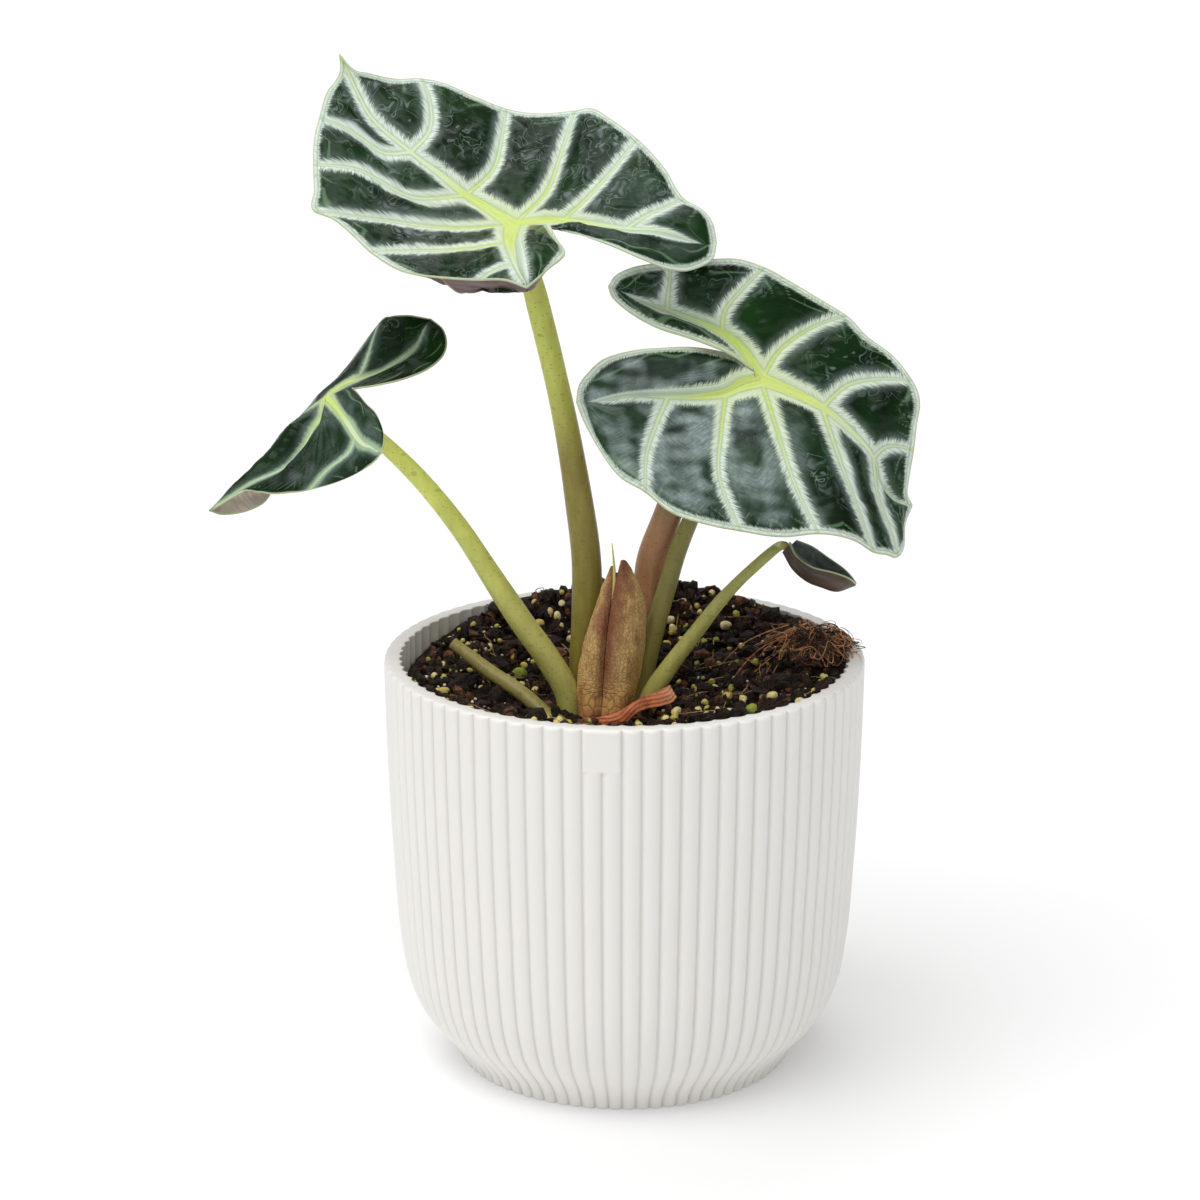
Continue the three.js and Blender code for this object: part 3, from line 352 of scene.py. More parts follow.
def group(name, inputs, outputs):
    """A node group's tree with named inputs, a default each, and named outputs."""
    tree = bpy.data.node_groups.new(name, "ShaderNodeTree")
    for label, value in inputs.items():
        socket = tree.interface.new_socket(label, in_out="INPUT", socket_type="NodeSocketFloat")
        socket.default_value = value
    for label in outputs:
        tree.interface.new_socket(label, in_out="OUTPUT", socket_type="NodeSocketFloat")
    return tree, tree.nodes.new("NodeGroupInput").outputs, tree.nodes.new("NodeGroupOutput").inputs


def use(tree, name, inputs, output):
    """Places a node group in a material with its own values."""
    made = tree.nodes.new("ShaderNodeGroup")
    made.node_tree = bpy.data.node_groups[name]
    for label, value in inputs.items():
        plug(tree, made.inputs[label], value)
    return made.outputs[output]


def feathered(tree, distance, along, across, reach, soft=0.85, fine=2.3):
    """A mask with a hairy border, by the Feathered Border group."""
    inputs = {"Distance": distance, "Along": along, "Across": across}
    return use(tree, "Feathered Border", {**inputs, "Reach": reach, "Soft": soft, "Fine": fine}, "Mask")


def mottle(tree, across, up=None, contrast=2.0, middle=0.5):
    """Blotches by the Mottle group, at one scale in x and y and one in z."""
    scales = {"X": across, "Y": across, "Z": up or across}
    return use(tree, "Mottle", {**scales, "Contrast": contrast, "Middle": middle}, "Value")


def flecks(tree, across, up, share, size):
    """Small marks by the Flecks group, at one scale in x and y and one in z."""
    scales = {"X": across, "Y": across, "Z": up}
    return use(tree, "Flecks", {**scales, "Share": share, "Size": size}, "Mask")


def principled(name, tree, values, height=None, strength=0.4, distance=0.5):
    """Finishes a material: values go to its Principled BSDF, and a height in millimetres to its bump."""
    shader = tree.nodes.new("ShaderNodeBsdfPrincipled")
    for label, value in values.items():
        plug(tree, shader.inputs[label], value)
    if height is not None:
        bump = {"Height": height, "Strength": strength, "Distance": distance * MM}
        plug(tree, shader.inputs["Normal"], node(tree, "Bump", bump))
    output = tree.nodes.new("ShaderNodeOutputMaterial")
    tree.links.new(shader.outputs[0], output.inputs[0])
    return bpy.data.materials[name]


def blank(name):
    """A new material's empty tree."""
    material = bpy.data.materials.new(name)
    material.use_nodes = True
    material.node_tree.nodes.clear()
    return material.node_tree


def shade(color, share):
    """A colour made darker to a share of its light."""
    return tuple(share * channel for channel in color)


# Shared effects


def feather_group():
    """A mask with a hairy border. Distance is how far inside the border a point is, Along runs along the
    border and Across away from it: the border moves by Reach times a noise that is fine along it and long
    across it."""
    given = {"Distance": 0.0, "Along": 0.0, "Across": 0.0, "Reach": 1.0, "Soft": 0.3, "Fine": 2.2}
    tree, inputs, outputs = group("Feathered Border", given, ["Mask"])
    hair = streaky(tree, inputs["Along"], inputs["Fine"], inputs["Across"], 0.3, 3.0, 0.65)
    swing = maths(tree, "SUBTRACT", hair, 0.5)
    moved = maths(tree, "MULTIPLY_ADD", swing, inputs["Reach"], inputs["Distance"])
    soft = inputs["Soft"]
    plug(tree, outputs["Mask"], rise(tree, moved, times(tree, soft, -1.0), soft))


def mottle_group():
    """Soft blotches with finer ones inside them, from 0 to 1: noise of Object coordinates stretched by the
    three scales, brought to its full range around Middle by Contrast."""
    given = {"X": 100.0, "Y": 100.0, "Z": 100.0, "Middle": 0.5, "Contrast": 2.0}
    tree, inputs, outputs = group("Mottle", given, ["Value"])
    scales = vector_of(tree, inputs["X"], inputs["Y"], inputs["Z"])
    place = node(tree, "VectorMath", {0: place_of(tree), 1: scales}, operation="MULTIPLY")
    cloud = noise(tree, place, 1.0, detail=4.0, roughness=0.6)
    apart = maths(tree, "SUBTRACT", cloud, inputs["Middle"])
    spread = maths(tree, "MULTIPLY_ADD", apart, inputs["Contrast"], 0.5)
    plug(tree, outputs["Value"], node(tree, "Clamp", {"Value": spread}))


def fleck_group():
    """Sparse small marks: cells of Object coordinates stretched by the three scales, marked near the
    middle of the few whose random shade is under Share."""
    given = {"X": 400.0, "Y": 400.0, "Z": 400.0, "Share": 0.2, "Size": 0.3}
    tree, inputs, outputs = group("Flecks", given, ["Mask"])
    scales = vector_of(tree, inputs["X"], inputs["Y"], inputs["Z"])
    place = node(tree, "VectorMath", {0: place_of(tree), 1: scales}, operation="MULTIPLY")
    cells = tree.nodes.new("ShaderNodeTexVoronoi")
    plug(tree, cells.inputs["Vector"], place)
    plug(tree, cells.inputs["Scale"], 1.0)
    random = node(tree, "SeparateXYZ", {0: cells.outputs["Color"]})
    few = maths(tree, "LESS_THAN", random, inputs["Share"])
    small = times(tree, inputs["Size"], 0.5)
    middle = rise(tree, cells.outputs["Distance"], small, inputs["Size"], 1.0, 0.0)
    plug(tree, outputs["Mask"], times(tree, few, middle))


# Materials


def pot_material(color):
    """Satin ware, faintly clouded, with shade painted into its grooves by the stored field 'hollow'."""
    tree = blank("pot_satin")
    cloud = mottle(tree, 45, 30, contrast=1.2)
    fine = mottle(tree, 900)
    # Painted shade: the colour of the grooves is darkened where real grooves would lie in shade
    painted_groove_shade = tuple(c * k for c, k in zip(color, (0.62, 0.6, 0.56)))
    base = blend(tree, cloud, color, shade(color, 0.96))
    base = blend(tree, rise(tree, field(tree, "hollow"), 0.25, 1.0, 0.0, 0.62), base, painted_groove_shade)
    values = {"Base Color": base, "Roughness": rise(tree, fine, 0.0, 1.0, 0.34, 0.44)}
    return principled("pot_satin", tree, values, fine, 0.05, 0.1)


def leaf_material(name, look, silver, hair, glint_strength):
    """The upper side of a blade, with hairs of a length on its silver and painted glints of a strength.
    Stored
    fields: 'bands' is how far a point is inside the silver beside a vein, beside the midrib and at the
    margin; 'flow' is the distance from the midrib, along the leaf and from the nearest vein; 'cores' is
    how far it is inside a vein's bright core, how near the heart or tip it is, and how much it lies in a
    minor vein's groove; 'rim' is the distance from the margin, and the last field is the painted sheen
    of the lobe, pale colour painted where it would reflect light."""
    tree = blank(name)
    vein, rib, edge = parts_of(tree, "bands")
    out, run, off = parts_of(tree, "flow")
    core, heart, minor = parts_of(tree, "cores")
    from_rim = field(tree, "rim")

    # Silver bands whose hairs lean forward
    lean = maths(tree, "MULTIPLY_ADD", off, -0.7, out)
    lean_run = maths(tree, "MULTIPLY_ADD", out, 0.6, run)
    veins = feathered(tree, vein, lean, off, hair)
    ribs = feathered(tree, rib, lean_run, out, hair)
    margins = feathered(tree, edge, run, out, 0.6 * hair, soft=0.6)
    silver_part = highest(tree, veins, ribs, margins)

    # Painted sheen: pale beside the veins and in brushed patches of a lobe, and painted glints along creases
    inside = highest(tree, vein, rib)
    grain = noise(tree, place_of(tree), 900.0, detail=3.0, roughness=0.7)
    sheen_share = times(tree, rise(tree, inside, -3.0, 0.0, 0.0, 0.45), mottle(tree, 75, contrast=2.4))
    brushed_sheen = rise(tree, streaky(tree, lean, 2.6, off, 0.3), 0.36, 0.6, 0.72, 1.1)
    sheen_share = highest(tree, sheen_share, times(tree, field(tree, "frost"), brushed_sheen))
    sheen = times(tree, sheen_share, rise(tree, grain, 0.3, 0.7, 0.7, 1.0))
    swirl = noise(tree, place_of(tree), 210.0, detail=1.0, distortion=0.9)
    lit = mottle(tree, 42, contrast=6, middle=0.53)
    crease_glint = times(tree, rise(tree, away_from(tree, swirl, 0.5), 0.0, 0.03, 0.85, 0.0), lit)
    gleam = times(tree, rise(tree, swirl, 0.56, 0.72), lit)
    painted_glints = highest(tree, crease_glint, times(tree, gleam, 0.9))
    sheen = highest(tree, sheen, times(tree, painted_glints, glint_strength))

    # Dark panels, then the silver over them
    cloud = mottle(tree, 60, contrast=2.6)
    dark = blend(tree, cloud, look.green, look.deep_green)
    dark = blend(tree, times(tree, rise(tree, minor, 0.3, 0.9), 0.5), dark, look.vein_green)
    # Painted sheen and glints: the panels are paled toward the sheen colour in place of reflected light
    dark = blend(tree, times(tree, sheen, 0.7), dark, look.frost)
    streaks = streaky(tree, lean, 2.1, off, 0.4)
    pale = blend(tree, rise(tree, streaks, 0.4, 0.68, 0.0, 0.6), silver, look.silver_shade)
    pale = blend(tree, rise(tree, inside, 0.7, 2.4, 0.0, 0.45), pale, look.silver_shade)
    pale = blend(tree, times(tree, heart, 0.6), pale, look.pale_lime)
    base = blend(tree, times(tree, silver_part, 0.9), dark, pale)

    # Bright veins between two lines, a line inside the margin, and the rim
    bright = rise(tree, core, -0.25, 0.25)
    stripes = streaky(tree, out, 1.7, run, 0.12, detail=3.0)
    lime = blend(tree, rise(tree, heart, 0.1, 0.6), look.core, look.lime)
    lime = blend(tree, rise(tree, stripes, 0.42, 0.62, 0.0, 0.45), lime, look.pale_lime)
    base = blend(tree, times(tree, bright, 0.9), base, lime)
    beside = rise(tree, maths(tree, "ABSOLUTE", core), 0.05, 0.4, 0.4, 0.0)
    base = blend(tree, beside, base, look.silver_shade)
    line = rise(tree, away_from(tree, from_rim, 1.25), 0.1, 0.35, 0.5, 0.0)
    base = blend(tree, times(tree, line, margins), base, look.vein_green)
    base = blend(tree, rise(tree, from_rim, 0.15, 0.6, 0.85, 0.0), base, look.rim)

    rough = maths(tree, "MULTIPLY_ADD", silver_part, 0.12, rise(tree, cloud, 0.2, 0.8, 0.17, 0.25))
    height = maths(tree, "MULTIPLY_ADD", bright, 0.5, times(tree, stripes, 0.2))
    height = maths(tree, "MULTIPLY_ADD", grain, 0.22, height)
    values = {"Base Color": base, "Roughness": rough, "Specular IOR Level": 0.15}
    values["Specular Tint"] = (0.9, 1.0, 0.93)
    return principled(name, tree, values, height, 0.45, 0.5)


def underside_material(name, look, skin, veins):
    """The lower side of a blade: streaked, with paler veins and a pale rim."""
    tree = blank(name)
    core, _, minor = parts_of(tree, "cores")
    out, _, off = parts_of(tree, "flow")
    cloud = blend(tree, 0.6, mottle(tree, 90), streaky(tree, off, 0.9, out, 0.12, detail=4.0))
    base = blend(tree, rise(tree, cloud, 0.35, 0.65), skin, shade(skin, 0.6))
    base = blend(tree, times(tree, minor, 0.2), base, veins)
    base = blend(tree, rise(tree, core, -0.5, 0.3), base, veins)
    base = blend(tree, rise(tree, field(tree, "rim"), 0.2, 0.7, 1.0, 0.0), base, look.rim)
    values = {"Base Color": base, "Roughness": 0.42}
    return principled(name, tree, values, times(tree, cloud, 0.3), 0.3, 0.5)


def stalk_material(name, low, high, fleck, change):
    """A stalk's skin, from its colour at the root to that at the leaf, which it reaches between the two
    shares of its length in change, with mottling stretched along it and short dark flecks. The stored
    field 'rise' is the share of its length."""
    tree = blank(name)
    long_cloud = mottle(tree, 420, 90, contrast=3)
    soft_cloud = mottle(tree, 130, 60, contrast=3)
    base = blend(tree, rise(tree, field(tree, "rise"), *change), low, high)
    base = blend(tree, times(tree, soft_cloud, 0.6), base, (0.62, 0.6, 0.56), mode="MULTIPLY")
    base = blend(tree, times(tree, long_cloud, 0.3), base, (0.25, 0.25, 0.06), mode="SCREEN")
    base = blend(tree, times(tree, flecks(tree, 330, 800, 0.16, 0.42), 0.3), base, fleck)
    base = blend(tree, times(tree, flecks(tree, 900, 1900, 0.2, 0.45), 0.35), base, fleck)
    values = {"Base Color": base, "Roughness": 0.42, "Specular IOR Level": 0.45}
    return principled(name, tree, values, long_cloud, 0.35, 0.35)


def sheath_material(name, tan, dark, red, foot, net_depth):
    """A papery scale: a net of pale cells with dark borders, round at its foot and drawn out above,
    fibres, and a red flush. The stored field 'sheet' is the place across, along and the flush."""
    tree = blank(name)
    across, along, flush = parts_of(tree, "sheet")
    grain = streaky(tree, across, 1.3, along, 0.4, detail=5.0, roughness=0.75)
    warp = maths(tree, "MULTIPLY_ADD", grain, 1.6, along)
    fine = rise(tree, along, 6.0, 18.0, 0.42, 1.0)
    cell = vector_of(tree, times(tree, across, fine), times(tree, warp, times(tree, fine, 0.75)))
    net = node(tree, "TexVoronoi", {"Vector": cell, "Scale": 1.0}, feature="DISTANCE_TO_EDGE")
    lines = rise(tree, net, 0.0, 0.16, 1.0, 0.0)
    cloud = mottle(tree, 130, 70, contrast=3)
    base = blend(tree, rise(tree, along, 3.0, 20.0), foot, tan)
    base = blend(tree, rise(tree, cloud, 0.3, 0.95), base, dark)
    base = blend(tree, flush, base, red)
    base = blend(tree, rise(tree, grain, 0.45, 0.72, 0.0, 0.45), base, shade(dark, 0.5))
    base = blend(tree, times(tree, lines, 0.45 * net_depth), base, shade(dark, 0.42))
    height = maths(tree, "MULTIPLY_ADD", lines, -0.5 * net_depth, grain)
    values = {"Base Color": base, "Roughness": 0.55}
    return principled(name, tree, values, height, 0.6, 0.5)


def earth_material(name, dark, brown, size):
    """Peat, bark and crumbs: dark with browner patches and a rough grain."""
    tree = blank(name)
    grain = mottle(tree, 1800, contrast=3)
    base = blend(tree, mottle(tree, size, contrast=3), dark, brown)
    base = blend(tree, times(tree, grain, 0.5), base, shade(dark, 0.3))
    rough = rise(tree, grain, 0.0, 1.0, 0.38, 0.75)
    values = {"Base Color": base, "Roughness": rough, "Specular IOR Level": 0.35}
    return principled(name, tree, values, grain, 0.9, 0.5)


def pebble_material(name, light, warm):
    """Grit, roots and fibres: pale with warmer stains and small pits."""
    tree = blank(name)
    cloud = mottle(tree, 500, contrast=3)
    pits = flecks(tree, 1500, 1500, 0.5, 0.4)
    base = blend(tree, cloud, light, warm)
    base = blend(tree, times(tree, pits, 0.4), base, shade(warm, 0.3))
    values = {"Base Color": base, "Roughness": 0.7}
    return principled(name, tree, values, maths(tree, "SUBTRACT", cloud, pits), 0.5, 0.4)


# The pot


def pot_side(z):
    """The pot's outer radius over its rib tops at a height: a smooth curve through the foot, the neck, the
    belly and the rim."""
    heights = [0, 3, 6, 9, 12, 15, 18, 25, 36, 60, 90, POT_HEIGHT]
    above_foot = [0, 1.1, 3.0, 5.5, 8.2, 10.5, 12.3, 14.9, 16.8, 18.6, 20.0, FOOT_INSET]
    return FOOT_RADIUS + smooth(heights, np.array(above_foot, float), z)


def rib_section(azimuth, count):
    """1 on top of a rib and 0 in the groove beside it: |sin| of half the rib's angle, to a power under 1,
    which makes each rib a broad bead and each groove a narrow one."""
    phase = (azimuth - TAB_AZIMUTH) * count / 360
    return np.abs(np.sin(np.pi * phase)) ** RIB_BROADNESS


# Inside of the pot: radius beside the wall's, level under the rim and share of the scallops; then the radius
# and level of each ring from the wall to the middle of its floor
POINTS_PER_RIB = 14
SCALLOP = 1.25
POT_INSIDE = [(0.3, 0, 0.9), (0, -0.15, 1), (0, -0.5, 1), (0, -2.4, 1)]
POT_INSIDE += [(0, 100 - POT_HEIGHT, 0.5), (0, 90 - POT_HEIGHT, 0.2)]
POT_FLOOR = [(62.5, 60), (60.6, 36), (58, 22), (53, 14), (44, 7.5), (40, 5), (0, 5)]


def pot_rings(count, depth):
    """Points of the pot, and the share of painted groove shade at each, as rings of equally many points: from
    the foot's middle up the outside, over the rim, down the inside and to the middle of the floor. Outside,
    the share is how deep a point lies in a groove; the inner wall gets painted shade in stripes. The outer
    radius is pot_side(z) - depth (1 - rib_section), without grooves on the tab, and the rim's outer edge is a
    quarter round whose radius is larger on a rib than in a groove."""
    azimuth = np.linspace(-180, 180, count * POINTS_PER_RIB, endpoint=False)
    section = rib_section(azimuth, count)
    tab = POT_HEIGHT - TAB_HEIGHT
    heights = [[0.0, 0.0, 0.3], np.linspace(0.9, 16, 18), np.linspace(18, tab - 2, 20)]
    heights += [np.linspace(tab - 1, tab + 1, 7), np.linspace(tab + 2.5, POT_HEIGHT - 1.5, 5)]
    z = np.concatenate(heights)
    radius = pot_side(z)
    radius[0] = 0.0
    radius[1] -= 0.3
    apart = np.abs(azimuth - TAB_AZIMUTH) * count / 360
    on_tab = (1 - step_up(apart, 0.86, 0.99))[None] * step_up(z, tab - 0.5, tab + 0.3)[:, None]
    hollow = (1 - section)[None] * (1 - on_tab) * (radius > 0)[:, None]
    outer = radius[:, None] - depth * hollow
    turn = np.linspace(0, np.pi / 2, 6)[:, None]
    top_hollow = hollow[-1:]
    round_edge = 0.35 + 0.9 * (1 - top_hollow)
    edge = RIM_RADIUS - depth * top_hollow - round_edge * (1 - np.cos(turn))
    edge_level = POT_HEIGHT - round_edge * (1 - np.sin(turn))
    inner = np.array(POT_INSIDE, float)
    scallop = inner[:, 2:] * SCALLOP * (section[None] - 1)
    inner_radii = INNER_RADIUS + 0.75 + inner[:, :1] + scallop
    floor = np.array(POT_FLOOR, float)
    wide = np.ones((1, len(azimuth)))
    radii = np.concatenate([outer, edge, inner_radii, floor[:, :1] * wide])
    levels = [z[:, None] * wide, edge_level, (POT_HEIGHT + inner[:, 1:2]) * wide, floor[:, 1:] * wide]
    # Painted groove shade: the groove depth outside, fading round the rim's edge, stripes on the inner wall
    # and none on the floor
    hollows = [hollow, np.repeat(top_hollow, len(turn), 0) * np.cos(turn)]
    hollows += [(1 - section[None]) * (0 * inner[:, :1] + 0.9), 0 * floor[:, :1] * wide]
    angle = np.radians(azimuth)
    points = np.stack([radii * np.sin(angle), -radii * np.cos(angle), np.concatenate(levels)], -1)
    return points, np.concatenate(hollows)


def welded(points, faces, close=0.0001):
    """Joins points that coincide, and drops faces that lose a corner by it."""
    keys = np.round(points / close).astype(np.int64)
    _, first, same = np.unique(keys, axis=0, return_index=True, return_inverse=True)
    return first, triangles(same.reshape(-1)[faces])


def add_pot(look):
    """The pot as one skin, outside and inside."""
    rings, hollow = pot_rings(look.rib_count, look.rib_depth)
    points = rings.reshape(-1, 3)
    first, faces = welded(points, grid_faces(*rings.shape[:2], closed=True))
    # The stored field 'hollow' sets the shade painted into the grooves
    fields = {"hollow": hollow.ravel()[first]}
    finish(build("pot_shell", points[first], faces, [pot_material(look.color)], fields), "pot", "pot")


# The potting mix: the level of its top at the wall by azimuth, the radius and level of its sides from the top
# to the middle of its underside, its points round and rings across, and the y from which and to which a
# sight line is searched for it
WALL_AZIMUTHS = [-180, -140, -115, -90, -45, 0, 45, 80, 100, 140, 180]
WALL_LEVELS = [123, 121.5, 117.5, 114, 110, 109, 112, 118.5, 119.5, 121, 123]
MIX_RADIUS = INNER_RADIUS - 0.5
MIX_SIDES = [(MIX_RADIUS, 90), (61.8, 60), (57.5, 24), (43.5, 7.8), (39.5, 5.4), (0, 5.4)]
MIX_COLUMNS = 300
MIX_RINGS = 84
MIX_FRONT, MIX_BACK = -60.0, 66.0


def box_of(name):
    """Middle and half size of a CAD node."""
    low, high = (np.array(corner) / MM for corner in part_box(name))
    return (low + high) / 2, (high - low) / 2


# The large grains of grit, and the middle and radius of each
GRIT = [f"grit_{i:02d}" for i in range(1, 15)]
GRIT_SPOTS = [(middle, max(half[:2])) for middle, half in map(box_of, GRIT)]


def mix_level(x, y):
    """Height of the mix's top: c + (w - c) (r / INNER_RADIUS)^1.3, with c = CROWN_LEVEL, w the level at the
    wall at this azimuth and r the distance from the crown, and a heap at the back."""
    azimuth = np.degrees(np.arctan2(x, -y))
    wall = smooth(WALL_AZIMUTHS, WALL_LEVELS, azimuth.ravel()).reshape(azimuth.shape)
    share = np.minimum(np.hypot(x - CROWN[0], y) / INNER_RADIUS, 1.1) ** 1.3
    heap = 9 * np.exp(-(((x - 3) / 26) ** 2) - ((y - 52) / 9) ** 2)
    return CROWN_LEVEL + (wall - CROWN_LEVEL) * share + heap


def rough_level(x, y):
    """The mix's top with its clods: swells of about 9, 4 and 1.8 mm."""
    place = np.stack([x, y], -1)
    clods = 0.9 * ripples(place, 9, 3) + 0.6 * ripples(place, 4, 4) + 0.35 * ripples(place, 1.8, 5)
    for middle, radius in GRIT_SPOTS:
        clods = clods - 1.7 * np.exp(-((np.hypot(x - middle[0], y - middle[1]) / (radius + 1.2)) ** 2))
    calm = step_up(np.hypot(x - CROWN[0], y - CROWN[1]), 6, 16)
    edge = 1 - 0.6 * step_up(np.hypot(x, y), INNER_RADIUS - 6, INNER_RADIUS)
    return mix_level(x, y) - 0.3 + clods * edge * (0.3 + 0.7 * calm)


def on_mix(column, row):
    """Where the sight line through a column and row meets the mix, found by halving the interval of y."""
    near, far = MIX_FRONT, MIX_BACK
    for _ in range(30):
        middle = (near + far) / 2
        x, y, z = seen_at_back([column, row, middle])
        if z > mix_level(np.array(x), np.array(y)):
            near = middle
        else:
            far = middle
    return seen_at_back([column, row, near])


def add_mix_bed(look):
    """The mix: rings out to the wall over its rough top, then down inside the wall and across its
    underside."""
    azimuth = np.linspace(0, 2 * np.pi, MIX_COLUMNS, endpoint=False)
    shares = np.concatenate([[0.0], np.linspace(0.01, 1, MIX_RINGS)])
    radius = shares[:, None] * MIX_RADIUS
    x, y = radius * np.sin(azimuth), -radius * np.cos(azimuth)
    top = np.stack([x, y, rough_level(x, y)], -1)
    level = np.ones(MIX_COLUMNS)
    low = [[r * np.sin(azimuth), -r * np.cos(azimuth), z * level] for r, z in MIX_SIDES]
    rings = np.concatenate([top, np.moveaxis(np.array(low), 1, 2)])
    points = rings.reshape(-1, 3)
    first, faces = welded(points, grid_faces(len(rings), MIX_COLUMNS, closed=True)[:, ::-1])
    material = earth_material("mix_peat", look.peat, look.brown, 260)
    finish(build("mix_bed", points[first], faces, [material]), "mix", "potting_mix")


def lump(detail, seed, uneven):
    """A lumpy unit body: a subdivided icosahedron whose points move out or in by ripples."""
    bpy.ops.mesh.primitive_ico_sphere_add(subdivisions=detail, radius=1.0)
    made = bpy.context.object
    mesh = made.data
    points = np.zeros(len(mesh.vertices) * 3)
    mesh.vertices.foreach_get("co", points)
    faces = np.zeros(len(mesh.polygons) * 3, int)
    mesh.polygons.foreach_get("vertices", faces)
    bpy.data.objects.remove(made)
    bpy.data.meshes.remove(mesh)
    points = points.reshape(-1, 3)
    return points * (1 + uneven * ripples(points, 1.6, seed))[:, None], faces.reshape(-1, 3)


def spun(body, sizes, random):
    """The points of a small body at many sizes, each copy turned at random."""
    return np.einsum("nij,nkj->nki", turns(len(sizes), random), body[0][None] * sizes[:, None])


def turns(count, random):
    """Random rotation matrices, one for each of count bodies, from unit quaternions."""
    w, x, y, z = unit(random.normal(size=(count, 4))).T
    rows = [1 - 2 * (y * y + z * z), 2 * (x * y - z * w), 2 * (x * z + y * w)]
    rows += [2 * (x * y + z * w), 1 - 2 * (x * x + z * z), 2 * (y * z - x * w)]
    rows += [2 * (x * z - y * w), 2 * (y * z + x * w), 1 - 2 * (x * x + y * y)]
    return np.stack(rows, -1).reshape(count, 3, 3)


def strewn(count, sizes, stands, seed, body, keep_clear):
    """Many small bodies over the mix: random sizes, turns and places in the ring between the crown and
    the wall, each standing over the mix by a share of its size."""
    random = np.random.default_rng(seed)
    angle = random.uniform(0, 2 * np.pi, count)
    out = (INNER_RADIUS - 2.5) * np.sqrt(random.uniform(0, 1, count))
    x, y = out * np.sin(angle), out * np.cos(angle)
    clear = np.hypot(x - CROWN[0], y - CROWN[1]) > keep_clear
    for middle, radius in GRIT_SPOTS:
        clear = clear & (np.hypot(x - middle[0], y - middle[1]) > radius + 0.8)
    x, y = x[clear], y[clear]
    size = random.uniform(*sizes[:2], (len(x), 1)) * random.uniform(*sizes[2:], (len(x), 3))
    shaped = spun(body, size, random)
    z = rough_level(x, y) + size.mean(1) * stands
    return copies(*body, shaped + np.stack([x, y, z], -1)[:, None])


# Middling grains of grit: column, row and radius in mm
SMALL_GRIT = [
    (549, 614, 1.2), (559, 648, 1.0), (468, 662, 1.1), (689, 610, 0.9), (697, 609, 0.8), (659, 649, 1.3),
    (694, 651, 1.0), (741, 649, 1.0), (716, 715, 1.1), (698, 715, 1.0), (676, 718, 1.2), (685, 708, 0.9),
    (743, 702, 1.0), (641, 716, 0.9), (771, 698, 1.0), (450, 642, 0.9), (437, 690, 0.9), (560, 628, 1.0),
    (535, 605, 0.9), (505, 610, 0.9),
]


def add_crumbs(look):
    """Crumbs of peat, chips of bark, pale grit and yellow-green grains, strewn over the mix."""
    peat = earth_material("mix_crumb", shade(look.peat, 0.6), look.brown, 420)
    bark = earth_material("mix_bark", look.brown, look.bark, 500)
    pale = pebble_material("mix_perlite", look.white, look.pale)
    warm = pebble_material("mix_pebble", look.pale, look.yellow)
    mossy = pebble_material("mix_grain", look.yellow, look.moss)
    chip, pebble = lump(1, 2, 0.3), lump(2, 7, 0.14)
    # Name, count, size and unevenness from and to, stand, seed, body, material, room round the crown, soft
    kinds = [
        ("mix_crumbs", 4200, (0.35, 1.3, 0.35, 1.7), 0.25, 11, chip, peat, 9.0, False),
        ("mix_shreds", 1700, (0.6, 1.6, 0.12, 2.4), 0.6, 12, chip, peat, 12.0, False),
        ("mix_bark_chips", 1100, (0.5, 1.7, 0.16, 1.9), 0.45, 13, chip, bark, 11.0, False),
        ("mix_perlite", 560, (0.2, 0.6, 0.7, 1.3), 2.4, 14, chip, pale, 11.0, True),
        ("mix_pebbles", 150, (0.6, 1.5, 0.6, 1.2), 1.0, 16, pebble, warm, 13.0, True),
        ("mix_green_grit", 360, (0.35, 1.1, 0.6, 1.2), 1.5, 15, pebble, mossy, 12.0, True),
    ]
    for name, count, sizes, stands, seed, body, material, clear, soft in kinds:
        points, faces = strewn(count, sizes, stands, seed, body, clear)
        finish(build(name, points, faces, [material], soft=soft), "mix")
    random = np.random.default_rng(17)
    places = np.array([on_mix(column, row) for column, row, _ in SMALL_GRIT])
    sizes = np.array(SMALL_GRIT)[:, 2:] * random.uniform(0.95, 1.45, (len(SMALL_GRIT), 3))
    shaped = spun(pebble, sizes, random)
    places[:, 2] = rough_level(places[:, 0], places[:, 1]) + 1.1 * sizes.mean(1)
    points, faces = copies(*pebble, shaped + places[:, None])
    finish(build("mix_spot_grit", points, faces, [warm]), "mix")


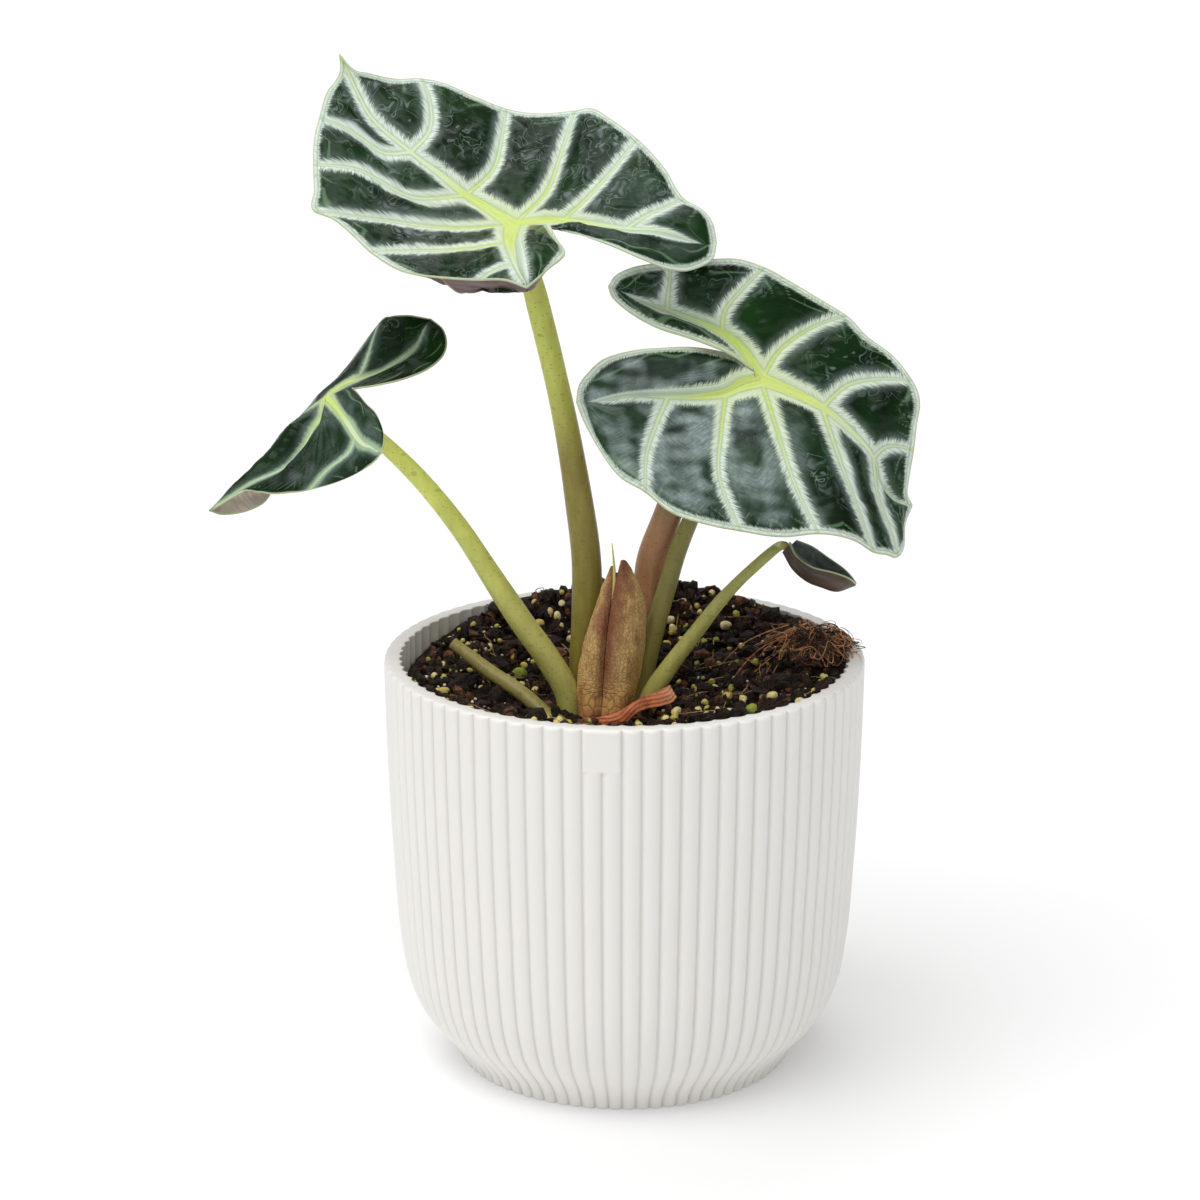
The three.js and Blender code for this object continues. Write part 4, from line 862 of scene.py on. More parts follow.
def add_roots(look):
    """Fine roots: each starts at a spot and wanders, its heading turning at random, at a height over the
    mix that bulges between its ends."""
    count, steps, length, radius, lift = 90, 12, 22, 0.16, 1.6
    random = np.random.default_rng(21)
    angle = random.uniform(0, 2 * np.pi, count)
    out = 60 * np.sqrt(random.uniform(0.06, 1, count))
    spots = np.stack([out * np.cos(angle), out * np.sin(angle)], -1)
    random = np.random.default_rng(22)
    parts = []
    for spot in spots:
        start = spot + random.normal(0, 1.0, 2)
        heading = random.uniform(0, 2 * np.pi) + np.cumsum(random.normal(0, 0.3, steps))
        pace = length * random.uniform(0.5, 1.3) / steps
        x = start[0] + np.cumsum(np.cos(heading)) * pace
        y = start[1] + np.cumsum(np.sin(heading)) * pace
        far = np.maximum(np.hypot(x, y) / (INNER_RADIUS - 1.5), 1)
        x, y = x / far, y / far
        bulge = np.sin(np.linspace(0, np.pi, steps)) * lift * random.uniform(0.3, 1.4)
        path = np.stack([x, y, mix_level(x, y) + 0.4 + bulge], -1)
        taper = np.linspace(1, 0.45, steps) * radius * random.uniform(0.7, 1.4)
        parts.append(tube(path, taper, 4))
    points, faces = joined(parts)
    material = pebble_material("mix_root", tint(196, 172, 120), tint(150, 118, 70))
    finish(build("mix_roots", points, faces, [material]), "mix")


def add_grit(look):
    """The large grains: a lumpy body in each grain's own box, with a hue of its own."""
    hues = [look.yellow, look.moss, look.pale, look.pale]
    for i, node_name in enumerate(GRIT):
        middle, half = box_of(node_name)
        points, faces = lump(4, 40 + i, 0.1)
        hue = hues[i % len(hues)]
        material = pebble_material(f"grit_{i + 1:02d}", hue, shade(hue, 0.55))
        piece = build(f"pebble_{i + 1:02d}", points * half * 0.95 + middle, faces, [material])
        finish(piece, "grit", node_name)


# Coir: the places on the mix, column and row, where its long strands end
STRAND_ENDS = [
    (734, 678), (741, 684), (728, 664), (750, 672), (762, 690), (756, 655), (772, 664), (722, 672),
]


def add_coir(look):
    """Coir over the rim at the right: a low wad painted near black as the shade inside a tangle of fibres,
    most of them painted dark as shaded fibres and every third one bright, and a few long bright strands that
    trail over the mix. A fibre runs at the angle a + b t round the wad at the share s of its radius, and at
    the height of an ellipsoid, c sqrt(1 - s^2), plus its own lift."""
    middle, half = box_of("fibre_clump")
    points, faces = lump(5, 61, 0.12)
    wad = points * half * (0.7, 0.7, 0.42) + middle - (0, 0, 1.8)
    wad = wad + (1.1 * ripples(wad, 4, 62))[:, None] * unit(points)
    # Painted shade: the wad is the coir colour at a small share of its light, filling the gaps of the tangle
    material = earth_material("coir_wad", shade(look.coir, 0.05), shade(look.coir, 0.2), 600)
    finish(build("coir_wad", wad, faces, [material]), "coir", "fibre_clump")
    random = np.random.default_rng(63)
    fibres, steps = 130, 26
    t = np.linspace(0, 1, steps)
    arch = np.sin(np.pi * t)
    dark, bright = [], []
    for i in range(fibres):
        angle = random.uniform(0, 2 * np.pi) + random.uniform(0.3, 1.8) * t * random.choice([-1, 1])
        share = random.uniform(0.2, 0.95)
        share = share + 0.16 * np.sin(random.uniform(1, 6) * t * np.pi + random.uniform(0, 6))
        share = share + random.uniform(-0.45, 0.3) * t
        lift = random.uniform(0, 0.7) + random.uniform(0, 2.9) ** 1.4 * arch**2
        x = middle[0] + half[0] * share * np.cos(angle)
        y = middle[1] + half[1] * share * np.sin(angle)
        z = middle[2] - 1.6 + half[2] * 0.62 * np.sqrt(np.clip(1 - share**2, 0, 1)) + lift
        (dark if i % 3 else bright).append(resting(x, y, z, random.uniform(0.09, 0.26)))
    for column, row in STRAND_ENDS * 2:
        far = on_mix(column + random.uniform(-4, 4), row + random.uniform(-4, 4))
        near = on_mix(random.uniform(788, 815), random.uniform(626, 650)) + (0, 0, 2.5)
        bend = arch[:, None] * random.normal(0, 2.2, 3)
        x, y, z = (near + (far - near) * t[:, None] + bend).T
        bright.append(resting(x, y, z + 1.6 * arch, random.uniform(0.14, 0.28)))
    # The dark fibres are the coir colour at a small share of its light: painted shade
    for name, parts, light in (("coir_fibres", bright, 1.0), ("coir_dark_fibres", dark, 0.13)):
        points, faces = joined(parts)
        material = pebble_material(name, shade(look.coir, light), shade(look.coir, 0.32 * light))
        finish(build(name, points, faces, [material]), "coir")


def resting(x, y, z, radius):
    """A thin fibre along a path, kept over the mix and the rim and within the pot's outside."""
    reach = np.maximum(np.hypot(x, y) / (RIM_RADIUS + 1.0), 1)
    x, y = x / reach, y / reach
    under = np.where(np.hypot(x, y) > INNER_RADIUS - 1, POT_HEIGHT, mix_level(x, y)) + 0.5
    path = np.stack([x, y, np.maximum(z, under)], -1)
    return tube(path, np.linspace(1, 0.6, len(path)) * radius, 5)


# Leaves: a blade is two halves that share the midrib, from the tip (0) to the heart (3). Each half has a main
# side vein from the heart (3) to the end of its rear lobe (6), an outer part round to that end, and an inner
# part between the vein and the notch. A line holds [station, column, row, towards], and the lines of a part
# lie at the shares LINES of the way from the midrib or side vein to the margin.
LINES = (0, 0.33, 0.7, 1)
HEART = 3
LOBE = 6
# Points of a sheet that lie this near are one
CLOSE = 0.001

CROWN_LEAF = {
    "nearness": 27,
    "turn": 1,
    "midrib": [(0, 339, 53, -26), (0.12, 346, 68, -26), (0.35, 357, 92, -24), (0.65, 373, 120, -20.5),
               (1, 411, 153, -15.3), (1.5, 440, 175, -12), (2, 466, 196, -8), (2.5, 489, 211, -4.5),
               (3, 513, 226, 0)],
    "notch": [(3, 525, 226, 1), (3, 539, 225.5, 3), (3, 550, 225, 4)],
    "halves": [
        {
            "vein": [(3.5, 538, 222, 1.5), (4, 562, 222, 3), (4.5, 595, 225, 6), (5, 627, 229, 8.5),
                     (5.5, 660, 231, 10), (6, 690, 240, 9.5)],
            "outer": [
                [(0.12, 347, 68, -26), (0.5, 376, 99, -24), (1, 429, 132, -18), (1.5, 455, 150, -16),
                 (2, 492, 172, -13), (2.5, 517, 184, -9), (3, 545, 195, -5), (3.5, 566, 197, -2),
                 (4, 586, 200, 0), (4.5, 618, 207, 4), (5, 645, 217, 7), (5.5, 676, 227, 9),
                 (6, 699, 243, 9)],
                [(0.12, 350, 68, -26), (0.5, 383, 86, -27), (1, 430, 103, -23), (1.5, 463, 118, -23),
                 (2, 502, 137, -21), (2.5, 530, 147, -17), (3, 562, 152, -13), (3.5, 588, 158, -9),
                 (4, 615, 168, -5), (4.5, 643, 185, 0), (5, 666, 208, 5), (5.5, 696, 219, 8),
                 (6, 709, 245, 8.5)],
                [(0.12, 353, 69, -26), (0.25, 368, 73, -27), (0.6, 395, 79, -28), (1, 422, 79, -28),
                 (1.3, 445, 84, -28), (1.6, 475, 97, -28), (2, 506, 109, -27), (2.5, 540, 114, -24),
                 (3, 575, 111, -20), (3.3, 593, 109, -18), (3.6, 610, 119, -15), (4, 637, 139, -10),
                 (4.5, 664, 168, -4), (5, 684, 199, 2), (5.3, 702, 210, 5), (5.6, 712, 222, 7),
                 (6, 717, 243, 8)],
            ],
            "inner": [
                [(4, 577, 229, 7), (5, 641, 243, 12.5)],
                [(4, 593, 237, 11), (5, 656, 257, 16)],
                [(3.3, 563, 230, 6.5), (3.7, 583, 236, 10), (4.2, 617, 248, 15), (4.6, 642, 259, 17),
                 (5, 668, 269, 17), (5.4, 692, 270, 14), (5.7, 712, 260, 10)],
            ],
        },
        {
            "vein": [(3.5, 511, 235, 8), (4, 510, 243, 15), (4.5, 512, 253, 24), (5, 515, 263, 32),
                     (5.5, 520, 274, 40), (6, 524, 281, 45)],
            "outer": [
                [(0.12, 343, 68, -26), (0.5, 352, 104, -23), (1, 383, 153, -16), (1.5, 400, 176, -12),
                 (2, 413, 198, -8), (2.5, 430, 210, -6), (3, 452, 229, -1), (3.5, 458, 240, 3),
                 (4, 465, 250, 9), (4.5, 478, 262, 18), (5, 490, 274, 29), (5.5, 508, 284, 39),
                 (6, 525, 284, 46.5)],
                [(0.12, 341, 69, -26), (0.5, 337, 94, -25), (1, 347, 130, -19), (1.5, 350, 149, -14),
                 (2, 356, 170, -10.5), (2.5, 363, 192, -7), (3, 377, 220, -3.5), (3.5, 385, 233, 0),
                 (4, 407, 252, 5), (4.5, 430, 275, 14), (5, 461, 292, 27), (5.5, 494, 297, 37.5),
                 (6, 527, 291, 47)],
                [(0.12, 340, 70, -26), (0.25, 336, 80, -26), (0.5, 328, 90, -25), (1, 319, 118, -20),
                 (1.5, 314, 140, -16), (2, 313, 165, -12), (2.5, 314, 190, -8), (3, 314, 211, -4),
                 (3.3, 333, 219, -2), (3.6, 350, 233, 1), (4, 370, 252, 5), (4.4, 395, 268, 12),
                 (4.7, 413, 274, 20), (5, 441, 277, 31), (5.4, 476, 279, 39.5), (5.7, 504, 279, 44),
                 (6, 527, 287, 49)],
            ],
            "inner": [
                [(3.5, 525, 234, 9.5), (4, 528, 244, 17), (4.5, 530, 255, 25.5), (5, 527, 268, 33),
                 (5.5, 526, 281, 41)],
                [(3.5, 542, 235, 11), (4, 550, 248, 19.5), (4.5, 551, 259, 27.5), (5, 541, 275, 35),
                 (5.5, 535, 289, 41.5)],
                [(3.5, 556, 238, 12), (4, 565, 252, 21), (4.5, 561, 259, 29), (5, 549, 268, 38),
                 (5.5, 541, 275, 44)],
            ],
        },
    ],
}

RIGHT_LEAF = {
    "nearness": 30,
    "turn": -1,
    "midrib": [(0, 912, 506, -12), (0.25, 893, 500, -9), (0.6, 879, 482, -6), (1, 873, 458, -3),
               (1.5, 851, 432, 0), (2, 822, 408, 1.5), (2.5, 790, 392, 1), (3, 761, 380, 0)],
    "notch": [(3, 758, 376, 0.3), (3, 755, 372, 0.7), (3, 752, 369, 1)],
    "halves": [
        {
            "vein": [(3.4, 744, 354, -2), (4, 722, 334, -3), (4.5, 696, 322, -3), (5, 667, 310, -2),
                     (5.5, 648, 304, -1), (6, 630, 296, 0)],
            "outer": [
                [(0.5, 893, 487, -8), (1, 883, 448, -5), (1.5, 873, 422, -3.5), (2, 846, 386, -2),
                 (2.5, 812, 366, -1.5), (3, 780, 350, -1.5), (3.5, 752, 323, -1.5), (4, 725, 311, -1.5),
                 (4.5, 699, 301, -1), (5, 668, 295, 0), (5.5, 641, 292, 0), (6, 622, 292, 0)],
                [(0.5, 902, 483, -9), (1, 898, 446, -6.5), (1.5, 898, 416, -5), (2, 880, 379, -4.5),
                 (2.5, 850, 349, -4), (3, 815, 326, -3), (3.5, 776, 298, -2), (4, 744, 287, -1),
                 (4.5, 710, 277, 0), (5, 670, 277, 1), (5.5, 634, 279, 1), (6, 614, 288.5, 0)],
                [(0.3, 907, 493, -11), (0.6, 910, 472, -9), (1, 914, 450, -7), (1.3, 917, 424, -6),
                 (1.6, 920, 404, -6), (2, 912, 380, -6), (2.3, 893, 356, -6), (2.6, 868, 337, -5),
                 (3, 846, 315, -4), (3.3, 815, 296, -3), (3.6, 790, 281, -2), (4, 764, 267, -1),
                 (4.3, 739, 259, 0), (4.6, 713, 259, 1), (5, 670, 262, 2), (5.4, 634, 267, 2),
                 (5.7, 616, 275, 1), (6, 608, 286, 0)],
            ],
            "inner": [
                [(4, 719, 338, -1), (5, 661, 315, 0)],
                [(4, 715, 342, 2), (5, 653, 319, 2.5)],
                [(3.5, 735, 357, 2.5), (4, 711, 346, 4), (4.4, 686, 337, 5), (4.8, 658, 328, 5),
                 (5.2, 632, 314, 4), (5.6, 613, 298, 2)],
            ],
        },
        {
            "vein": [(3.5, 742, 385, 0), (4, 726, 393, 0), (4.5, 697, 397, 0.5), (5, 668, 397, 1.5),
                     (5.5, 635, 396, 3), (6, 600, 401, 5)],
            "outer": [
                [(0.5, 892, 506, -7), (1, 876, 492, -3), (1.5, 862, 480, 0), (2, 839, 460, 3),
                 (2.5, 810, 440, 4), (3, 775, 425, 4), (3.5, 748, 430, 4), (4, 721, 432, 4.5),
                 (4.5, 690, 432, 5.5), (5, 656, 425, 5.5), (5.5, 626, 420, 6), (6, 592, 402, 5.5)],
                [(0.5, 899, 522, -6), (1, 889, 529, -1.5), (1.5, 874, 523, 2), (2, 856, 506, 5.5),
                 (2.5, 832, 496, 8), (3, 796, 488, 9), (3.5, 760, 492, 10), (4, 720, 482, 11),
                 (4.5, 680, 477, 12), (5, 646, 458, 11), (5.5, 608, 438, 9.5), (6, 583, 402, 6)],
                [(0.3, 905, 524, -8), (0.6, 904, 545, -4), (1, 898, 557, 0), (1.5, 887, 555, 3),
                 (2, 873, 552, 6), (2.4, 855, 541, 9), (2.7, 838, 536, 11), (3, 818, 534, 12),
                 (3.4, 785, 537, 14), (4, 740, 531, 16), (4.3, 713, 526, 17), (4.7, 670, 512, 17),
                 (5, 645, 492, 16), (5.3, 620, 477, 14), (5.6, 600, 451, 11), (5.85, 583, 420, 8),
                 (6, 576, 402, 6)],
            ],
            "inner": [
                [(4, 715, 379, 1), (5, 655, 381, 3.5), (5.5, 619, 389, 4.5)],
                [(4, 706, 362, 1.5), (5, 637, 364, 5.5), (5.5, 600, 381, 6)],
                [(3.3, 740, 358, 0), (3.7, 718, 351, 0), (4.1, 690, 347, 2), (4.5, 660, 348, 4),
                 (4.9, 630, 351, 6.5), (5.2, 604, 359, 7.5), (5.5, 587, 374, 7), (5.8, 578, 388, 6.5)],
            ],
        },
    ],
}

LEFT_LEAF = {
    "nearness": 15,
    "turn": -1,
    "midrib": [(0, 209, 511, -2), (0.5, 250, 484, 2), (1, 284, 469, 4), (1.5, 303, 450, 4),
               (2, 316, 427, 3), (2.5, 325, 412, 2), (3, 326, 397, 0)],
    "notch": [(3, 335, 394, 0.5), (3, 344, 391, 1), (3, 353, 388, 1)],
    "halves": [
        {
            "vein": [(3.5, 338, 410, 5), (4, 356, 436, 13), (5, 372, 448, 20), (6, 378, 452, 23)],
            "outer": [
                [(0.5, 249, 487, 2.5), (1, 276, 477, 4.5), (2, 308, 447, 5), (3, 322, 430, 4),
                 (4, 349, 453, 13), (5, 366, 458, 19.5), (6, 380, 452.5, 23)],
                [(0.5, 246, 490, 3), (1, 266, 486, 4.8), (2, 288, 478, 6.5), (3, 304, 472, 8),
                 (4, 326, 472, 12.5), (5, 358, 469, 18.5), (6, 381, 453, 23)],
                [(0.3, 228, 499, 1), (0.6, 243, 491, 3), (1, 257, 492, 4.5), (2, 272, 494, 6.5),
                 (3, 288, 493, 8.5), (4, 310, 490, 11), (4.6, 335, 483, 14), (5, 352, 476, 17),
                 (5.5, 372, 464, 21), (6, 382, 453, 23)],
            ],
            "inner": [
                [(4, 361, 425, 13), (5, 377, 441, 21)],
                [(4, 365, 412, 12), (5, 381, 433, 20.5)],
                [(3.5, 359, 394, 5), (4, 366, 403, 10), (4.5, 376, 413, 15), (5, 382, 427, 19),
                 (5.5, 384.5, 440, 22)],
            ],
        },
        {
            "vein": [(3.5, 340, 386, -2), (4, 358, 380, -4), (4.5, 376, 374, -5), (5, 403, 358, -7),
                     (5.5, 416, 346, -8), (6, 424, 330, -8)],
            "outer": [
                [(0.5, 238, 484, 0), (1, 264, 462, 0), (2, 291, 427, 1), (3, 303, 415, 0),
                 (3.5, 333, 388, -7), (4, 366, 362, -5), (5, 405, 343, -7.5), (6, 426, 326, -8.3)],
                [(0.5, 232, 498, -5), (1, 258, 482, -7), (2, 279, 448, -7), (3, 287, 434, -8),
                 (3.5, 334, 387, -15), (4, 374, 338, -6), (5, 405, 326, -8), (6, 429, 322, -8.6)],
                [(0.3, 222, 515, -4), (0.6, 240, 513, -8), (1, 259, 506, -10), (1.5, 270, 494, -12),
                 (2, 276, 474, -14), (3, 292, 442, -16), (3.5, 338, 380, -20), (4, 379, 324, -7),
                 (4.5, 390, 317, -7), (5, 404, 315, -8), (6, 431, 319, -9)],
            ],
            "inner": [
                [(4, 371, 380, -2.7), (5, 416, 358, -5)],
                [(4, 386, 381, -1), (5, 431, 357, -3.5)],
                [(3.3, 366, 387, 1), (3.7, 383, 384, 1), (4.2, 407, 378, 0), (4.6, 428, 369, -1),
                 (5, 443, 356, -3), (5.4, 447, 341, -5), (5.7, 443, 329, -7)],
            ],
        },
    ],
}

BACK_LEAF = {
    "nearness": -3.8,
    "turn": 1,
    "midrib": [(0, 782, 500, -22), (1, 765, 478, -13), (2, 745, 458, -6), (3, 722, 440, 0)],
    "notch": [(3, 720, 436, -0.3), (3, 718, 432, -0.7), (3, 716, 428, -1)],
    "halves": [
        {
            "vein": [(4, 728, 418, -0.5), (5, 731, 402, -1.5), (6, 732, 388, -2.5)],
            "outer": [
                [(0.5, 779, 486, -18), (1, 776, 468, -14), (2, 757, 444, -7.5), (3, 735, 428, -2),
                 (4, 734, 412, -2), (5, 734, 396, -2.5), (6, 731, 382, -3)],
                [(0.5, 786, 484, -20), (1, 788, 464, -17), (2, 775, 436, -11), (3, 751, 413, -6),
                 (4, 742, 398, -4), (5, 736, 385, -4), (6, 730, 376, -3)],
                [(0.5, 792, 483, -21), (1, 799, 461, -19), (2, 790, 428, -14), (3, 766, 400, -9),
                 (4, 750, 385, -6), (5, 740, 375, -5), (6, 729, 371, -3.5)],
            ],
            "inner": [
                [(4, 723, 417, -0.5), (5, 726, 400, -1.5)],
                [(4, 719, 415, -1), (5, 720, 398, -2)],
                [(4, 715, 412, -1.5), (5, 715, 394, -2.5), (5.6, 719, 378, -3)],
            ],
        },
        {
            "vein": [(4, 706, 433, 0.5), (5, 696, 428, 0.5), (6, 686, 423, 0)],
            "outer": [
                [(0.5, 771, 497, -17), (1, 756, 486, -11), (2, 733, 472, -4), (3, 712, 454, 0.5),
                 (4, 698, 440, 1), (5, 690, 431, 0.8), (6, 683, 421, 0)],
                [(0.5, 768, 503, -16), (1, 750, 500, -11), (2, 723, 489, -4), (3, 702, 471, 0),
                 (4, 689, 449, 0.8), (5, 683, 433, 0.5), (6, 680, 420, -0.3)],
                [(0.5, 766, 507, -16.5), (1, 747, 508, -12), (2, 716, 500, -5), (3, 694, 482, -1),
                 (4, 681, 457, 0), (5, 676, 436, 0), (6, 677, 419, -0.5)],
            ],
            "inner": [
                [(4, 708, 429, 0), (5, 698, 424, 0)],
                [(4, 710, 422, -0.5), (5, 699, 418, -0.5)],
                [(4, 710, 417, -1), (5, 699, 412, -1), (5.6, 686, 411, -1)],
            ],
        },
    ],
}


def line_at(points, nearness, stations):
    """Points of one line of a blade at the stations."""
    table = np.array(points, float)
    table[:, 3] += nearness
    return smooth(table[:, 0], seen(table[:, 1:]), stations)


def stations_between(first, last, each):
    """Stations from one whole number to another, closer together beside the whole ones, where veins lie."""
    share = eased(each, 0.6)[:-1]
    return np.concatenate([k + share for k in range(first, last)] + [[last]])


def lengths(grid, axis):
    """Distance along the grid lines of one axis from their start."""
    steps = np.linalg.norm(np.diff(grid, axis=axis), axis=-1)
    pad = np.zeros_like(np.take(steps, [0], axis=axis))
    return np.concatenate([pad, np.cumsum(steps, axis=axis)], axis=axis)


def blade_part(grid, stations, shares, inner, veins, look):
    """The fields of one part of a blade, on its grid of points. With d the distance from the nearest side
    vein, b from the midrib or main vein and e from the margin: bands are vein width - d, rib width - b
    and margin width - e. The blade's height is a quilt A (1 - (1 - p)^2), p running from 0 on a vein to 1
    midway to the next, with wrinkles, less grooves where b + 0.9 d is a whole number of minor vein
    spacings."""
    base = lengths(grid, 0)
    edge = base[-1:] - base
    run = lengths(grid, 1)
    along, across = unit(np.gradient(grid, axis=0)), unit(np.gradient(grid, axis=1))
    slant = np.linalg.norm(np.cross(along, across), axis=-1)
    starts = [HEART if inner else 0, *veins, LOBE]
    columns = np.searchsorted(stations, starts)
    span = np.clip(np.searchsorted(starts, stations, side="right") - 1, 0, len(starts) - 2)
    before = run - run[:, columns[span]]
    after = run[:, columns[span + 1]] - run
    middle = 2 * np.minimum(before, after) / np.maximum(before + after, 1e-6)
    apart = np.abs(run[:, :, None] - run[:, columns[1:-1]][:, None]) * slant[..., None]
    off = apart.min(-1) if veins else 99 + 0 * run
    nearest = apart.argmin(-1) if veins else 0
    weight = np.array([veins[k] for k in veins] or [0.0])[nearest]
    size, seed, s = look["size"], look["seed"], shares[:, None]
    front, rear = np.clip(stations / 3, 0, 1)[None], step_up(stations, 3, 6)[None]
    before_heart = stations[None] <= HEART

    # Silver bands and bright cores, and the lime near the heart and the tip
    vein_width = np.where(weight > 0, size * (2.7 - 1.1 * s) * weight, -4.0)
    narrowing = 1.4 if inner else 2.9
    rib_width = size * np.where(before_heart, 1.9 + 3.0 * front**1.3, 4.9 - narrowing * rear)
    bands = [vein_width - off, rib_width - base, look["margin"] - edge]
    vein_core = np.where(weight > 0, (0.62 - 0.34 * s) * size * weight, -2.0)
    rib_core = size * np.where(before_heart, 0.35 + 2.0 * front**1.5, 0.45 + 1.9 * (1 - rear) ** 1.3)
    core = np.maximum(vein_core - off, rib_core - base)
    lime = np.exp(-((np.linalg.norm(grid - look["heart"], axis=-1) / (23 * size)) ** 1.5))
    tip_lime = look["tip_lime"] * np.exp(-np.linalg.norm(grid - look["tip"], axis=-1) / 6)

    # Minor veins, the quilted height and the thickness under the ribs
    sway = 0.5 * ripples(grid, 16, seed + 9)
    groove = (0.5 + 0.5 * np.cos(2 * np.pi * ((base + 0.9 * off) / (6.0 * size) + sway))) ** 8
    groove = groove * step_up(off, 1.0, 3.0) * step_up(base, 2, 5)
    minor = groove * (0.25 + 0.75 * (1 - step_up(edge, 3, 11 * size))) * step_up(edge, 0.5, 2)
    width = (before + after) * slant / 2
    fade = step_up(base, 0.5, 6) * step_up(edge, 0, 6)
    quilt = np.clip(0.17 * width, 0, 1.9 * size) * (1 - (1 - middle) ** 2) * fade
    wrinkles = 0.46 * ripples(grid, 9, seed) + 0.25 * ripples(grid, 4.5, seed + 1)
    height = quilt + (size * wrinkles * step_up(middle, 0.05, 0.5) - look["groove"] * groove) * fade
    thinning = np.where(before_heart, front, 1 - 0.7 * rear)
    thick = look["rib_below"] * size * np.exp(-((base / 1.7) ** 2)) * thinning
    if not inner:
        thick = np.maximum(thick, 0.55 * size * np.exp(-((off / 0.7) ** 2)) * (1 - 0.8 * s))

    # Painted sheen in patches, away from the margin and the rib: pale colour painted where the lobe would
    # reflect light
    sheen_from = look["sheen_from"]
    sheen_reach = 0.8 if inner else 0.7 * step_up(stations, sheen_from, sheen_from + 1.6)[None]
    frost = look["frost"] * sheen_reach * step_up(edge, 1.5, 5) * step_up(base, 1, 4)
    sheen_patches = (0.3 + 0.5 * rear * inner) + 0.9 * ripples(grid, 19, seed + 5) + 0.5 * ripples(grid, 6, seed + 6)
    fields = {
        "bands": np.stack(np.broadcast_arrays(*bands), -1),
        "flow": np.stack([base, run, np.minimum(off, 30)], -1),
        "cores": np.stack([core, np.maximum(lime, tip_lime), minor], -1),
        "rim": edge,
        "frost": np.broadcast_to(frost * np.clip(sheen_patches, 0.08, 1), edge.shape),
    }
    return fields, height, thick


def flat(values):
    """A field of a grid as one value or vector for each point."""
    return values.reshape(-1, *values.shape[2:])


def blade_shell(leaf, each, rows, look):
    """A closed blade: the sheet's points move out along its normals by height + BLADE / 2 for the upper
    side, and in by BLADE / 2 + thick for the lower, and the two are joined round the margin."""
    nearness, tip, heart = leaf["nearness"], leaf["midrib"][0], leaf["midrib"][-1]
    shares = eased(rows, 0.45)
    ends = line_at(leaf["midrib"], nearness, [0, HEART])
    look = {**look, "tip": ends[0], "heart": ends[1]}
    grids, quads, stored, heights, thicks = [], [], [], [], []
    for side, half in enumerate(leaf["halves"]):
        vein = [heart, *half["vein"]]
        for inner in (False, True):
            stations = stations_between(HEART if inner else 0, LOBE, each)
            rib = line_at(vein, nearness, np.maximum(stations, HEART))
            if not inner:
                front = line_at(leaf["midrib"], nearness, np.minimum(stations, HEART))
                rib = np.where(stations[:, None] <= HEART, front, rib)
                lines = [[tip, *line] for line in half["outer"]]
            else:
                ends = [line[-1] for line in half["outer"]]
                lines = [[low, *line, end] for low, line, end in zip(leaf["notch"], half["inner"], ends)]
            table = np.stack([rib, *[line_at(line, nearness, stations) for line in lines]])
            grid = smooth(LINES, table, shares)
            veins = {} if inner else look["veins"][side]
            # Each half's share of painted sheen
            side_look = {**look, "frost": look["painted_sheens"][side]}
            fields, height, thick = blade_part(grid, stations, shares, inner, veins, side_look)
            faces = grid_faces(len(shares), len(stations)) + sum(g.shape[0] * g.shape[1] for g in grids)
            turn = leaf["turn"] * (1 if side == 0 else -1) * (-1 if inner else 1)
            quads.append(faces if turn > 0 else faces[:, ::-1])
            grids.append(grid)
            stored.append(fields)
            heights.append(height.ravel())
            thicks.append(thick.ravel())
    points = np.concatenate([flat(grid) for grid in grids])
    first, faces = welded(points, np.concatenate(quads), CLOSE)
    points = points[first]
    fields = {name: np.concatenate([flat(part[name]) for part in stored])[first] for name in stored[0]}
    height, thick = np.concatenate(heights)[first], np.concatenate(thicks)[first]
    return shell_of(points, faces, fields, height + BLADE / 2, thick + BLADE / 2 - height)


def shell_of(points, faces, fields, above, below):
    """A closed skin round a sheet of triangles: above it by one distance and below it by another."""
    corners = points[faces]
    area = np.cross(corners[:, 1] - corners[:, 0], corners[:, 2] - corners[:, 0])
    normal = np.zeros_like(points)
    for corner in range(3):
        np.add.at(normal, faces[:, corner], area)
    normal = unit(normal)
    edges = np.concatenate([faces[:, [0, 1]], faces[:, [1, 2]], faces[:, [2, 0]]])
    count = len(points)
    keys, back = edges[:, 0] * count + edges[:, 1], edges[:, 1] * count + edges[:, 0]
    rim = edges[~np.isin(keys, back)]
    a, b = rim.T
    sides = np.concatenate([np.stack([a, a + count, b + count], -1), np.stack([a, b + count, b], -1)])
    both = np.concatenate([points + normal * above[:, None], points - normal * below[:, None]])
    shell = np.concatenate([faces, faces[:, ::-1] + count, sides])
    kinds = np.concatenate([np.zeros(len(faces)), np.ones(len(faces) + len(sides))])
    return both, shell, {name: np.concatenate([v, v]) for name, v in fields.items()}, kinds


def grid_shell(grid, fields, above, below):
    """A closed skin round the sheet of one grid, with the fields and distances of its points."""
    points = flat(grid)
    first, faces = welded(points, grid_faces(*grid.shape[:2]), CLOSE)
    fields = {name: flat(values)[first] for name, values in fields.items()}
    return shell_of(points[first], faces, fields, flat(above)[first], flat(below)[first])


# The strength of the side vein at each whole station, for each half of a blade
FULL_VEINS = [{station: 1 for station in range(1, LOBE)}] * 2
